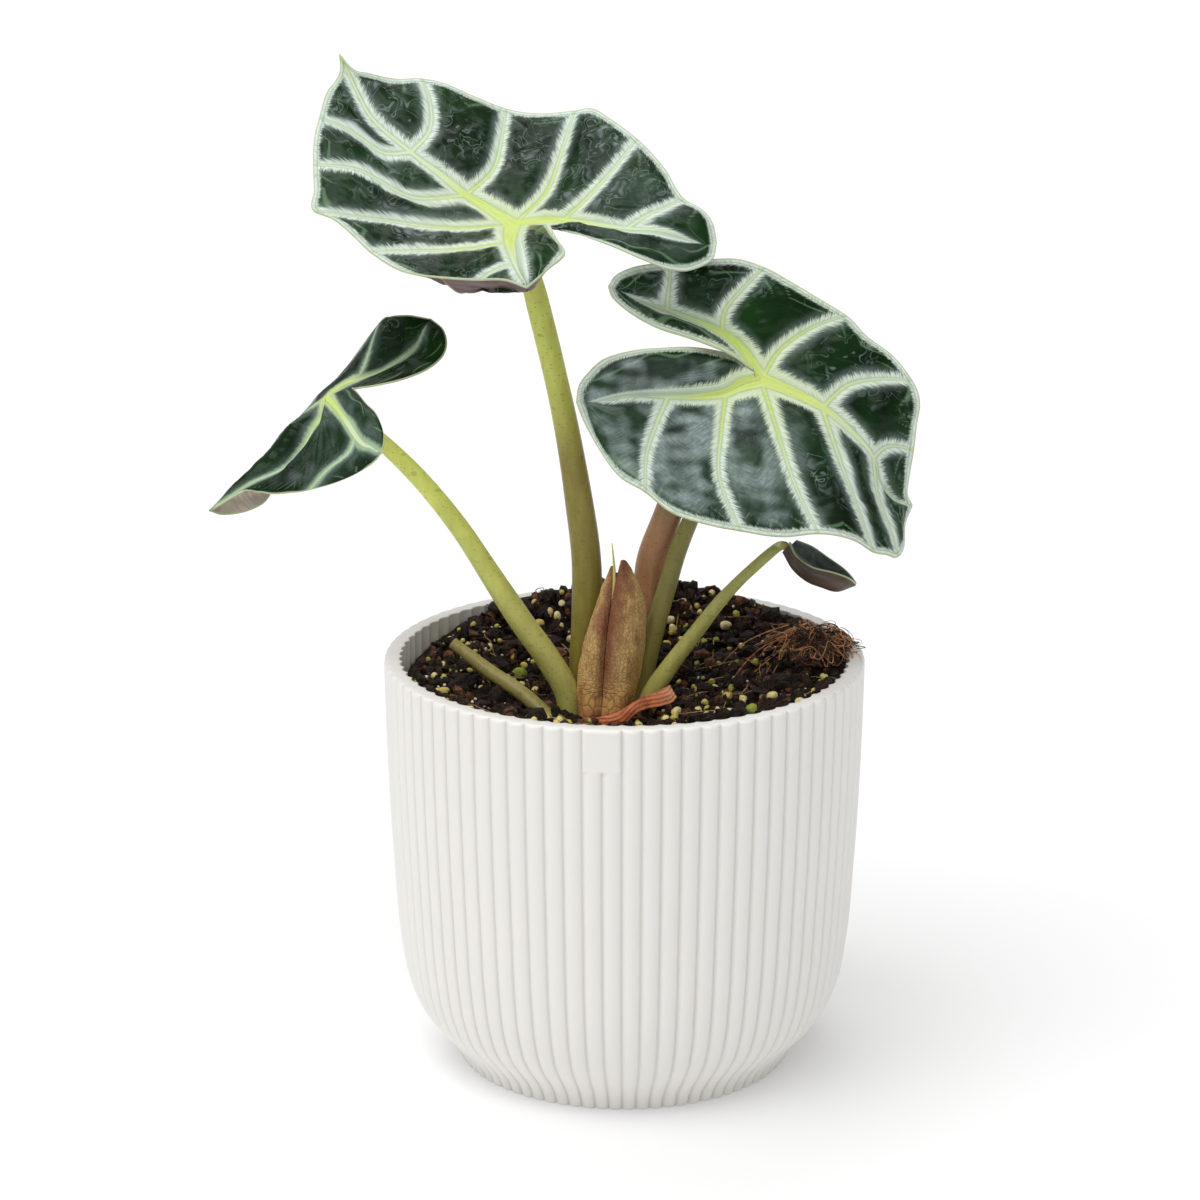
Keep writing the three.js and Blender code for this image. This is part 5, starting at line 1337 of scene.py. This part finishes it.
# Details of a blade: its size beside the top leaf's, the width of silver at the margin, the ribs' thickness
# below, the depth of minor grooves, the lime at the tip, side veins, the painted sheen of each half and the
# station from which it lies, and the seed of its ripples
LARGE = {
    "size": 1.0,
    "margin": 1.9,
    "rib_below": 1.5,
    "groove": 0.26,
    "tip_lime": 0.9,
    "veins": FULL_VEINS,
    "painted_sheens": (0.15, 0.0),
    "sheen_from": 3.0,
}
SMALL = {
    "size": 0.5,
    "margin": -2.5,
    "rib_below": 0.3,
    "groove": 0.15,
    "tip_lime": 0.3,
    "painted_sheens": (0.28, 0.0),
    "sheen_from": -2.0,
}
RIGHT_DETAILS = {"size": 0.95, "tip_lime": 0.4, "painted_sheens": (0.0, 1.15), "sheen_from": 2.2, "seed": 72}
LEFT_DETAILS = {"veins": [{4: 1.0}, {3: 0.5, 4: 0.4}], "seed": 73}
BACK_DETAILS = {"margin": 0.4, "veins": FULL_VEINS, "seed": 74}
# Outline, grid steps between two whole stations and from rib to margin, details, upper and lower material
LEAVES = {
    "leaf_crown": (CROWN_LEAF, 34, 56, {**LARGE, "seed": 71}, "leaf_upper", "leaf_under"),
    "leaf_right": (RIGHT_LEAF, 34, 56, {**LARGE, **RIGHT_DETAILS}, "leaf_upper", "leaf_under"),
    "leaf_left": (LEFT_LEAF, 30, 48, {**SMALL, **LEFT_DETAILS}, "leaf_upper_small", "leaf_grey"),
    "leaf_back": (BACK_LEAF, 22, 36, {**SMALL, **BACK_DETAILS}, "leaf_upper_small", "leaf_under"),
}


def add_leaves(look):
    """The materials of both sides of the leaves, and the four open blades."""
    # The last number is the strength of the painted glints
    leaf_material("leaf_upper", look, look.silver, 4.2, 0.42)
    leaf_material("leaf_upper_small", look, look.small_silver, 1.7, 0.08)
    underside_material("leaf_under", look, look.maroon, look.under_vein)
    underside_material("leaf_grey", look, look.grey, look.tan)
    underside_material("leaf_brown", look, look.brown, look.under_vein)
    for name, (leaf, each, rows, details, upper, under) in LEAVES.items():
        points, faces, fields, kinds = blade_shell(leaf, each, rows, details)
        materials = [bpy.data.materials[upper], bpy.data.materials[under]]
        piece = build("blade_" + name[5:], points, faces, materials, fields, kinds)
        finish(piece, "leaf", name)


# The rolled leaf: lines across it run from the near margin under the keel to the far one
ROLLED_NEARNESS = 24
ROLLED_POINTS = (70, 50)
ROLLED_HALF_THICKNESS = 0.25
ROLLED_LEAF = [
    [(790, 542, 2), (797, 556, 4), (812, 566.5, 5), (832, 571.5, 5), (848, 577, 4), (856, 583, 2)],
    [(788, 546, 1), (798, 563, 4), (811, 573, 5), (829, 580, 5), (843, 586, 4), (855, 585, 1.5)],
    [(783, 552, -1), (793, 569, 1), (807, 581, 1), (822, 587, 1), (837, 591, 1), (853, 586, 1)],
    [(788, 548, -6), (803, 560, -7), (819, 570, -8), (833, 577, -7), (845, 583, -5), (855, 585, 0)],
    [(797, 540, -6), (812, 546, -8), (828, 557, -9), (841, 566, -8), (850, 574, -6), (856, 582.5, 0)],
]


def sheet_grid(lines, place, along, across):
    """A grid of points on a smooth sheet through lines of places, with so many points along the lines and
    across them."""
    table = place(np.array(lines, float))
    for count in (along, across):
        last = table.shape[1] - 1
        table = smooth(range(last + 1), np.moveaxis(table, 1, 0), np.linspace(0, last, count))
    return table


def add_rolled_leaf(look):
    """The small rolled leaf: dark inside with a pale line and margin, brown outside."""
    lines = np.array(ROLLED_LEAF, float)
    lines[..., 2] += ROLLED_NEARNESS
    grid = sheet_grid(lines, seen, *ROLLED_POINTS)
    across, along = lengths(grid, 0), lengths(grid, 1)
    edge = np.minimum(across, across[-1:] - across)
    line = np.abs(across - across[-1:] * 0.74)
    none = np.zeros_like(line)
    fields = {
        "bands": np.stack([none - 4, 0.35 - line, -2.0 - edge], -1),
        "flow": np.stack([across, along, line], -1),
        "cores": np.stack([0.1 - line, none + 0.05, none], -1),
        "rim": edge,
        # Painted sheen over the whole inside, pale colour in place of reflected light
        "frost": none + 0.5,
    }
    half_thick = none + ROLLED_HALF_THICKNESS
    points, faces, fields, kinds = grid_shell(grid, fields, half_thick, half_thick)
    materials = [bpy.data.materials["leaf_upper_small"], bpy.data.materials["leaf_brown"]]
    piece = build("blade_low_right", points, faces, materials, fields, kinds)
    finish(piece, "leaf", "leaf_low_right")


# Stalks: the place in the crown, places [column, row, back] up the stalk, the blade's heart, which the stalk
# stops short of, radii from root to leaf, and the skin: its material, the settings that colour its root and
# its leaf end, and the shares of the length between which the one becomes the other
STALK_STOPS = 2.0
STALK_STEPS = 90
STALK_SIDES = 40
SHORT_STEPS = 60
STALKS = {
    "petiole_crown": {
        "root": (-10.5, 4.5),
        "skin": ("stalk_olive", "olive", "high", (0.5, 0.74)),
        "places": [(585, 680, 4.2), (587, 620, 3.5), (586, 555, 2.6), (578, 495, 2), (568, 435, 2),
                   (555, 375, 2.6), (540.5, 315, 3.6), (527, 265, 4.6)],
        "heart": (513, 226, 26.8),
        "radii": [4.4, 4.6, 4.5, 4.3, 4, 3.7, 3.4, 3.4, 3.2, 1.8],
    },
    "petiole_right": {
        "root": (-0.7, 7.5),
        "skin": ("stalk_purple", "purple", "purple_high", (0.2, 0.8)),
        "places": [(640, 650, 8.6), (648, 605, 9), (652, 560, 9), (666, 520, 8), (681, 480, 5.6),
                   (706, 440, 1.6), (738, 403, -5)],
        "heart": (761, 380, 29.8),
        "radii": [4.6, 4.7, 4.7, 4.6, 4.3, 3.8, 3.4, 2.8, 1.6],
    },
    "petiole_left": {
        "root": (-15.5, -4),
        "skin": ("stalk_yellow", "low", "high", (0.15, 0.7)),
        "places": [(567, 692, -4.6), (549, 660, -4.4), (523, 624, -3), (492, 577, -1), (457.5, 525, 1),
                   (420.5, 480, 3), (384, 444, 5), (350, 416, 6)],
        "heart": (326, 397, 14.8),
        "radii": [3.6, 3.7, 3.6, 3.4, 3.1, 2.9, 2.7, 2.5, 2.2, 1.2],
    },
    "petiole_back": {
        "root": (3.9, 0.5),
        "skin": ("stalk_dull", "dull", "dull_high", (0.1, 0.9)),
        "places": [(643, 680, 0.6), (656, 625, 1), (668, 584, 1.4), (676, 557, 2), (690.5, 520, 3.6),
                   (709, 482, 7.4), (718, 457, 12.5)],
        "heart": (722, 440, -4),
        "radii": [2.9, 2.9, 2.9, 2.8, 2.7, 2.5, 2.3, 2, 1.6],
    },
    "petiole_low_right": {
        "root": (4.9, -6.4),
        "skin": ("stalk_green", "green_low", "green", (0.1, 0.9)),
        "places": [(654, 689, -7.4), (667, 670, -7.6), (697, 631, -8), (724, 597, -8.6), (757.5, 564, -9.4),
                   (778, 547, -10.4)],
        "heart": (787, 545, 23.8),
        "radii": [2.9, 2.8, 2.5, 2.2, 1.9, 1.6, 1.5, 1.2],
    },
}

STUB_ROOT = (-14.4, -13, 99)
STUB_PLACES = [(564, 727, -11.6), (546, 714, -8.6), (524, 695, -4), (488, 670, 3), (453, 643, 9)]
STUB_RADII = [2.3, 2.3, 2.3, 2.2, 2, 1.7]


def stalk_piece(name, path, radii, sides, material, slot, node_name, seed):
    """A stalk with a slightly uneven skin, and how far up it each point is."""
    steps = len(path) - 1
    radius = smooth(np.linspace(0, steps, len(radii)), np.array(radii, float), np.arange(steps + 1))
    angle = np.linspace(0, 2 * np.pi, sides, endpoint=False)[None]
    up = np.linspace(0, 12, steps + 1)[:, None]
    place = np.stack(np.broadcast_arrays(np.cos(angle) * 2, np.sin(angle) * 2, up), -1)
    points, faces = tube(path, radius, sides, 1 + 0.02 * ripples(place, 3, seed))
    share = np.concatenate([np.repeat(np.linspace(0, 1, steps + 1), sides), [0, 1]])
    finish(build(name, points, faces, [material], {"rise": share}), slot, node_name)


def add_stalks(look):
    """Stalks along smooth curves from the crown, through their places, to just short of the blade's heart,
    and the stub of a cut one."""
    for seed, (name, form) in enumerate(STALKS.items()):
        skin, low, high, change = form["skin"]
        material = stalk_material(skin, getattr(look, low), getattr(look, high), look.fleck, change)
        places = seen_at_back(form["places"])
        top = seen(form["heart"])
        top = top - unit(top - places[-1]) * STALK_STOPS
        path = curve_through([[*form["root"], CROWN[2] - 0.8], *places, top], STALK_STEPS)
        slot = "purple_stalk" if name == "petiole_right" else "olive_stalk"
        stalk_piece("stalk_" + name[8:], path, form["radii"], STALK_SIDES, material, slot, name, 80 + seed)
    path = curve_through([STUB_ROOT, *seen_at_back(STUB_PLACES)], SHORT_STEPS)
    cut = stalk_material("stalk_cut", look.dull, look.stub, look.fleck, (0.3, 0.95))
    stalk_piece("stalk_stub", path, STUB_RADII, 32, cut, "olive_stalk", "petiole_stub", 90)


def add_crown_base(look):
    """The swollen stem base, rough and brown, flush with the mix."""
    middle, half = box_of("corm")
    points, faces = lump(5, 91, 0.05)
    shaped = points * half + middle
    top = middle[2] + half[2] + 0.35 * ripples(shaped[:, :2], 3, 92)
    shaped[:, 2] = np.minimum(shaped[:, 2] * 1.35 - 0.35 * (middle[2] - half[2]), top)
    material = earth_material("stem_base", look.peat, look.bark, 300)
    finish(build("stem_base", shaped, faces, [material]), "corm", "corm")


# Bud sheaths, the dry scale and the new leaf: lines of [column, row, back], each along the piece
SHEATH_RIGHT = [
    [(601, 723, -12.1), (604, 680, -11.4), (607, 640, -10.6),
     (612, 600, -9.4), (617, 576, -8.6), (621, 561, -7.2)],
    [(610, 723, -13.6), (615, 680, -12.9), (619, 640, -11.8),
     (623, 600, -10), (623, 576, -8.8), (622, 560, -7.2)],
    [(621, 722, -12.9), (629, 679, -12), (635, 640, -10.4),
     (636, 600, -8.2), (630, 576, -7.4), (624, 560, -7)],
    [(628, 718, -9.9), (639, 677, -6.6), (645, 640, -4),
     (644, 601, -3), (635, 577, -4.6), (626, 561, -6.6)],
]
SHEATH_LEFT = [
    [(601, 722, -10.7), (603, 680, -10), (606, 640, -8.8),
     (611, 600, -7), (614, 578, -6.2), (613, 567, -5.8)],
    [(592, 722, -11.7), (594, 680, -10.8), (598, 640, -9.2),
     (606, 600, -7), (611, 578, -6.2), (612.5, 566, -5.8)],
    [(584, 721, -10.5), (584, 680, -9), (590, 640, -7.2),
     (600, 601, -5.6), (608, 579, -5.6), (612, 566, -5.6)],
    [(579, 718, -8.9), (578, 680, -5.6), (585, 640, -3.4),
     (597, 603, -3.4), (605, 581, -4.6), (611.5, 567, -5.4)],
]
DRY_BRACT = [
    [(578, 725, -12.4), (600, 729, -15.4), (622, 726, -16),
     (640, 711, -15), (668, 704, -13), (677, 697, -12)],
    [(581, 722, -12.6), (599, 723, -15.8), (619, 719, -16.4),
     (638, 705, -15), (666, 695, -13), (675, 694, -12)],
    [(586, 718, -12.6), (598, 717, -15.4), (616, 713, -16),
     (637, 700, -14.4), (662, 689, -12.4), (670, 685, -11.6)],
]
NEW_LEAF_ROOT = (-3.4, -5, CROWN[2])
NEW_LEAF_PLACES = [(609, 660, -6), (613, 610, -7.6), (614.5, 585, -7.9), (614, 565, -8), (612, 543, -8)]
NEW_LEAF_RADII = [2.2, 2, 1.1, 0.66, 0.5, 0.12]
SCALE_POINTS = (90, 60)
SCALE_HALF_THICKNESS = 0.22


def scale_piece(name, lines, material, slot, node_name, flush, seed, ridges):
    """A papery scale: a smooth sheet with lengthwise ridges and slight ripples."""
    grid = sheet_grid(lines, seen_at_back, *SCALE_POINTS)
    across, along = lengths(grid, 0), lengths(grid, 1)
    share = along / along[:, -1:]
    sheet = np.stack([across, along, flush(across / across[-1:].max(), share)], -1)
    lift = ridges * np.sin(across * 5.5) + 0.18 * ripples(grid, 6, seed)
    above, below = SCALE_HALF_THICKNESS + lift, SCALE_HALF_THICKNESS - lift
    points, faces, fields, _ = grid_shell(grid, {"sheet": sheet}, above, below)
    finish(build(name, points, faces, [material], fields), slot, node_name)


def add_sheaths(look):
    """The two bud sheaths and the dry scale, and the new leaf between them. A scale's flush is a share of
    red by its place, from 0 to 1, across and along it: at its foot, its split edge and its tip."""
    paper = sheath_material("sheath_paper", look.tan, look.brown, look.red, look.base_green, 1.0)
    dry = sheath_material("bract_paper", look.dry, look.dry_dark, look.dry_pale, look.dry, 0.3)

    def base_and_tip(across, along):
        return np.maximum(0.45 * (1 - step_up(along, 0.02, 0.12)), 0.7 * step_up(along, 0.9, 1.0))

    def split_edge(across, along):
        edge = (1 - step_up(across, 0.0, 0.38)) * step_up(along, 0.1, 0.3)
        return np.maximum(base_and_tip(across, along), 0.85 * edge)

    def pale_tip(across, along):
        return step_up(along, 0.75, 1.0) * 0.5

    scale_piece("scale_right", SHEATH_RIGHT, paper, "sheath", "sheath_right", split_edge, 93, 0.03)
    scale_piece("scale_left", SHEATH_LEFT, paper, "sheath", "sheath_left", split_edge, 94, 0.03)
    scale_piece("scale_dry", DRY_BRACT, dry, "bract", "dry_bract", pale_tip, 95, 0.06)
    young = stalk_material("new_leaf_skin", look.young, look.young, look.red, (0.0, 1.0))
    path = curve_through([NEW_LEAF_ROOT, *seen_at_back(NEW_LEAF_PLACES)], SHORT_STEPS)
    stalk_piece("new_leaf_tip", path, NEW_LEAF_RADII, 16, young, "young_leaf", "new_leaf", 96)


# Stage: a lamp has its azimuth and height in degrees, its share of the lamps' strength, and its spread
FLOOR_REACH = 30000.0
LAMPS = {
    "key": (-60, 60, 1.13, 46),
    "above": (-25, 80, 0.3, 70),
    "front": (6, 56, 0.42, 30),
    "rear": (-160, 60, 0.5, 40),
}


def add_stage(look):
    """A pale floor that fills the view, soft lights and the camera on the sight line."""
    corners = np.array([[-1, -1, 0], [1, -1, 0], [1, 1, 0], [-1, 1, 0]]) * FLOOR_REACH
    tree = blank("studio_floor")
    diffuse = node(tree, "BsdfDiffuse", {"Color": look.floor})
    glow = node(tree, "Emission", {"Color": (1.0, 1.0, 1.0), "Strength": look.floor_glow})
    both = node(tree, "AddShader", {0: diffuse, 1: glow})
    output = tree.nodes.new("ShaderNodeOutputMaterial")
    tree.links.new(both, output.inputs[0])
    floor = build("studio_floor", corners, np.array([[0, 1, 2, 3]]), [bpy.data.materials["studio_floor"]])
    scene = bpy.context.scene
    world = bpy.data.worlds.new("studio")
    world.use_nodes = True
    background = world.node_tree.nodes["Background"]
    background.inputs[0].default_value = (1.0, 1.0, 1.0, 1.0)
    background.inputs[1].default_value = look.sky
    scene.world = world
    for name, (azimuth, height, share, spread) in LAMPS.items():
        lamp = bpy.data.lights.new(name, "SUN")
        lamp.angle = math.radians(spread)
        lamp.energy = look.key * share
        made = bpy.data.objects.new(name, lamp)
        made.rotation_euler = (math.radians(90 - height), 0, math.radians(azimuth))
        scene.collection.objects.link(made)
    camera = bpy.data.cameras.new("camera")
    camera.lens = VIEW_SCALE / VIEW_WIDTH * SENSOR
    camera.sensor_width = SENSOR
    holder = bpy.data.objects.new("camera", camera)
    back = np.array([0, -math.cos(PITCH), math.sin(PITCH)]) * RANGE
    holder.location = (np.array(AIM) + back) * MM
    holder.rotation_euler = (math.pi / 2 - PITCH, 0, 0)
    scene.collection.objects.link(holder)
    scene.camera = holder
    scene.view_settings.view_transform = "Standard"


# Settings


def color(name, description, default):
    kind = {"subtype": "COLOR", "size": 3, "min": 0, "max": 1}
    return FloatVectorProperty(name=name, description=description, default=default, **kind)


def settings_of(scene, name):
    """A group of settings as plain numbers and colours."""
    settings = getattr(scene, name)
    values = {label: getattr(settings, label) for label in SETTINGS[name].__annotations__}
    plain = {label: tuple(v) if hasattr(v, "__len__") else v for label, v in values.items()}
    return SimpleNamespace(**plain)


class AlocasiaPot(PropertyGroup):
    rib_count: IntProperty(name="Ribs", description="Upright ribs round the pot", default=78, min=12, max=90)
    rib_depth: FloatProperty(name="Rib depth", description="Groove depth in mm", default=1.45, min=0, max=3)
    color: color("Colour", "Colour of the pot", tint(240, 238, 233))


class AlocasiaMix(PropertyGroup):
    peat: color("Peat", "Darkest colour of the mix", tint(15, 10, 8))
    brown: color("Brown", "Browner patches of the mix", tint(70, 45, 30))
    bark: color("Bark", "Chips of bark", tint(160, 108, 70))
    white: color("Perlite", "White specks", tint(236, 232, 222))
    pale: color("Pale grit", "Pale pebbles", tint(252, 236, 180))
    yellow: color("Yellow grit", "Yellow grains", tint(236, 212, 108))
    moss: color("Green grit", "Green-tinged grains", tint(160, 174, 62))
    coir: color("Coir", "Coconut fibre", tint(248, 176, 120))


class AlocasiaLeaf(PropertyGroup):
    green: color("Green", "Blade between the veins", tint(24, 56, 20))
    deep_green: color("Deep green", "Darker patches of the blade", tint(6, 17, 6))
    vein_green: color("Minor veins", "Grooves of the minor veins", tint(112, 148, 108))
    # Colour of the painted sheen and glints laid over the dark panels in place of reflected light
    frost: color("Frost", "Silver dust beside the veins", tint(190, 208, 206))
    silver: color("Silver", "Bands beside the veins", tint(234, 244, 236))
    small_silver: color("Small leaf silver", "Bands of the small leaves", tint(170, 196, 160))
    silver_shade: color("Silver shade", "Streaks in the silver", tint(146, 176, 148))
    pale_lime: color("Pale lime", "Silver near the heart", tint(222, 236, 170))
    core: color("Vein", "Bright line along a vein", tint(214, 228, 188))
    lime: color("Heart", "Veins near the heart", tint(200, 218, 106))
    rim: color("Rim", "Thin edge of the blade", tint(186, 198, 156))
    maroon: color("Underside", "Lower side of the blade", tint(106, 76, 80))
    grey: color("Grey underside", "Lower side of the left leaf", tint(206, 196, 178))
    brown: color("Brown underside", "Outside of the rolled leaf", tint(86, 72, 58))
    tan: color("Tan veins", "Veins of the grey underside", tint(190, 160, 110))
    under_vein: color("Underside veins", "Veins of the lower side", tint(150, 140, 110))


class AlocasiaStalk(PropertyGroup):
    olive: color("Crown stalk", "Crown stalk near the root", tint(148, 134, 54))
    low: color("Left stalk", "Left stalk near the root", tint(194, 190, 104))
    high: color("Leaf end", "Stalk near the leaf", tint(222, 232, 112))
    green_low: color("Low right stalk", "The same near the root", tint(194, 188, 100))
    green: color("Low right stalk above", "The same near the leaf", tint(198, 200, 116))
    dull: color("Back stalk", "Dull stalks near the root", tint(148, 138, 72))
    dull_high: color("Back stalk above", "The same near the leaf", tint(150, 146, 80))
    stub: color("Cut end", "End of the cut stalk", tint(156, 142, 78))
    purple: color("Purple stalk", "Thick purple-brown stalk", tint(224, 162, 118))
    purple_high: color("Purple stalk above", "The same near the leaf", tint(108, 82, 56))
    fleck: color("Flecks", "Short dark marks", tint(92, 78, 46))


class AlocasiaSheath(PropertyGroup):
    tan: color("Tan", "Papery sheath", tint(242, 202, 130))
    base_green: color("Foot", "Foot of the sheath", tint(224, 172, 98))
    brown: color("Brown", "Darker patches of the sheath", tint(180, 124, 78))
    red: color("Red", "Flush at the split, base and tip", tint(136, 66, 46))
    dry: color("Dry scale", "Dry scale", tint(246, 144, 92))
    dry_dark: color("Dry scale fibres", "Darker fibres", tint(186, 96, 62))
    dry_pale: color("Dry scale tip", "Paler tip", tint(240, 196, 150))
    young: color("New leaf", "Tip of the rolled new leaf", tint(226, 222, 120))


class AlocasiaStage(PropertyGroup):
    floor: color("Floor", "Colour of the floor", (0.74, 0.74, 0.74))
    floor_glow: FloatProperty(name="Floor light", description="The floor's own light", default=0.21, min=0)
    sky: FloatProperty(name="Surroundings", description="Light from all round", default=0.36, min=0)
    key: FloatProperty(name="Lamps", description="Strength of the main lamp", default=1.2, min=0)


# Operators


class ALOCASIA_OT_pot(Operator):
    """Adds the ribbed pot"""

    bl_idname = "alocasia.pot"
    bl_label = "Pot"

    def execute(self, context):
        add_pot(settings_of(context.scene, "alocasia_pot"))
        return {"FINISHED"}


class ALOCASIA_OT_mix(Operator):
    """Adds the potting mix with its crumbs, bark, grit and fine roots"""

    bl_idname = "alocasia.mix"
    bl_label = "Potting Mix"

    def execute(self, context):
        look = settings_of(context.scene, "alocasia_mix")
        add_mix_bed(look)
        add_crumbs(look)
        add_roots(look)
        return {"FINISHED"}


class ALOCASIA_OT_grit(Operator):
    """Adds the large grains of grit"""

    bl_idname = "alocasia.grit"
    bl_label = "Large Grit"

    def execute(self, context):
        add_grit(settings_of(context.scene, "alocasia_mix"))
        return {"FINISHED"}


class ALOCASIA_OT_coir(Operator):
    """Adds the coir that lies over the rim"""

    bl_idname = "alocasia.coir"
    bl_label = "Coir"

    def execute(self, context):
        add_coir(settings_of(context.scene, "alocasia_mix"))
        return {"FINISHED"}


class ALOCASIA_OT_leaves(Operator):
    """Adds the four open leaf blades and the rolled one"""

    bl_idname = "alocasia.leaves"
    bl_label = "Leaves"

    def execute(self, context):
        look = settings_of(context.scene, "alocasia_leaf")
        add_leaves(look)
        add_rolled_leaf(look)
        return {"FINISHED"}


class ALOCASIA_OT_stalks(Operator):
    """Adds the stalks and the stem base that they grow from"""

    bl_idname = "alocasia.stalks"
    bl_label = "Stalks"

    def execute(self, context):
        add_stalks(settings_of(context.scene, "alocasia_stalk"))
        add_crown_base(settings_of(context.scene, "alocasia_mix"))
        return {"FINISHED"}


class ALOCASIA_OT_sheaths(Operator):
    """Adds the bud sheaths, the dry scale and the rolled new leaf"""

    bl_idname = "alocasia.sheaths"
    bl_label = "Sheaths"

    def execute(self, context):
        add_sheaths(settings_of(context.scene, "alocasia_sheath"))
        return {"FINISHED"}


class ALOCASIA_OT_stage(Operator):
    """Adds the floor, the lights and the camera"""

    bl_idname = "alocasia.stage"
    bl_label = "Stage"

    def execute(self, context):
        add_stage(settings_of(context.scene, "alocasia_stage"))
        return {"FINISHED"}


SETTINGS = {
    "alocasia_pot": AlocasiaPot,
    "alocasia_mix": AlocasiaMix,
    "alocasia_leaf": AlocasiaLeaf,
    "alocasia_stalk": AlocasiaStalk,
    "alocasia_sheath": AlocasiaSheath,
    "alocasia_stage": AlocasiaStage,
}
OPERATORS = [
    ALOCASIA_OT_stage,
    ALOCASIA_OT_pot,
    ALOCASIA_OT_mix,
    ALOCASIA_OT_grit,
    ALOCASIA_OT_coir,
    ALOCASIA_OT_leaves,
    ALOCASIA_OT_stalks,
    ALOCASIA_OT_sheaths,
]


class ALOCASIA_PT_panel(Panel):
    """Lists the pieces of the potted alocasia"""

    bl_idname = "ALOCASIA_PT_panel"
    bl_label = "Potted Alocasia"
    bl_space_type = "VIEW_3D"
    bl_region_type = "UI"
    bl_category = "Alocasia"

    def draw(self, context):
        for operator in OPERATORS:
            self.layout.operator(operator.bl_idname)
        for name, settings in SETTINGS.items():
            box = self.layout.box()
            for label in settings.__annotations__:
                box.prop(getattr(context.scene, name), label)


def register():
    for made in [*SETTINGS.values(), *OPERATORS, ALOCASIA_PT_panel]:
        bpy.utils.register_class(made)
    for name, settings in SETTINGS.items():
        setattr(bpy.types.Scene, name, PointerProperty(type=settings))


def unregister():
    for name in SETTINGS:
        delattr(bpy.types.Scene, name)
    for made in [ALOCASIA_PT_panel, *reversed(OPERATORS), *reversed(SETTINGS.values())]:
        bpy.utils.unregister_class(made)


def main():
    register()
    feather_group()
    mottle_group()
    fleck_group()
    for operator in OPERATORS:
        category, name = operator.bl_idname.split(".")
        getattr(getattr(bpy.ops, category), name)()


if __name__ == "__main__":
    main()
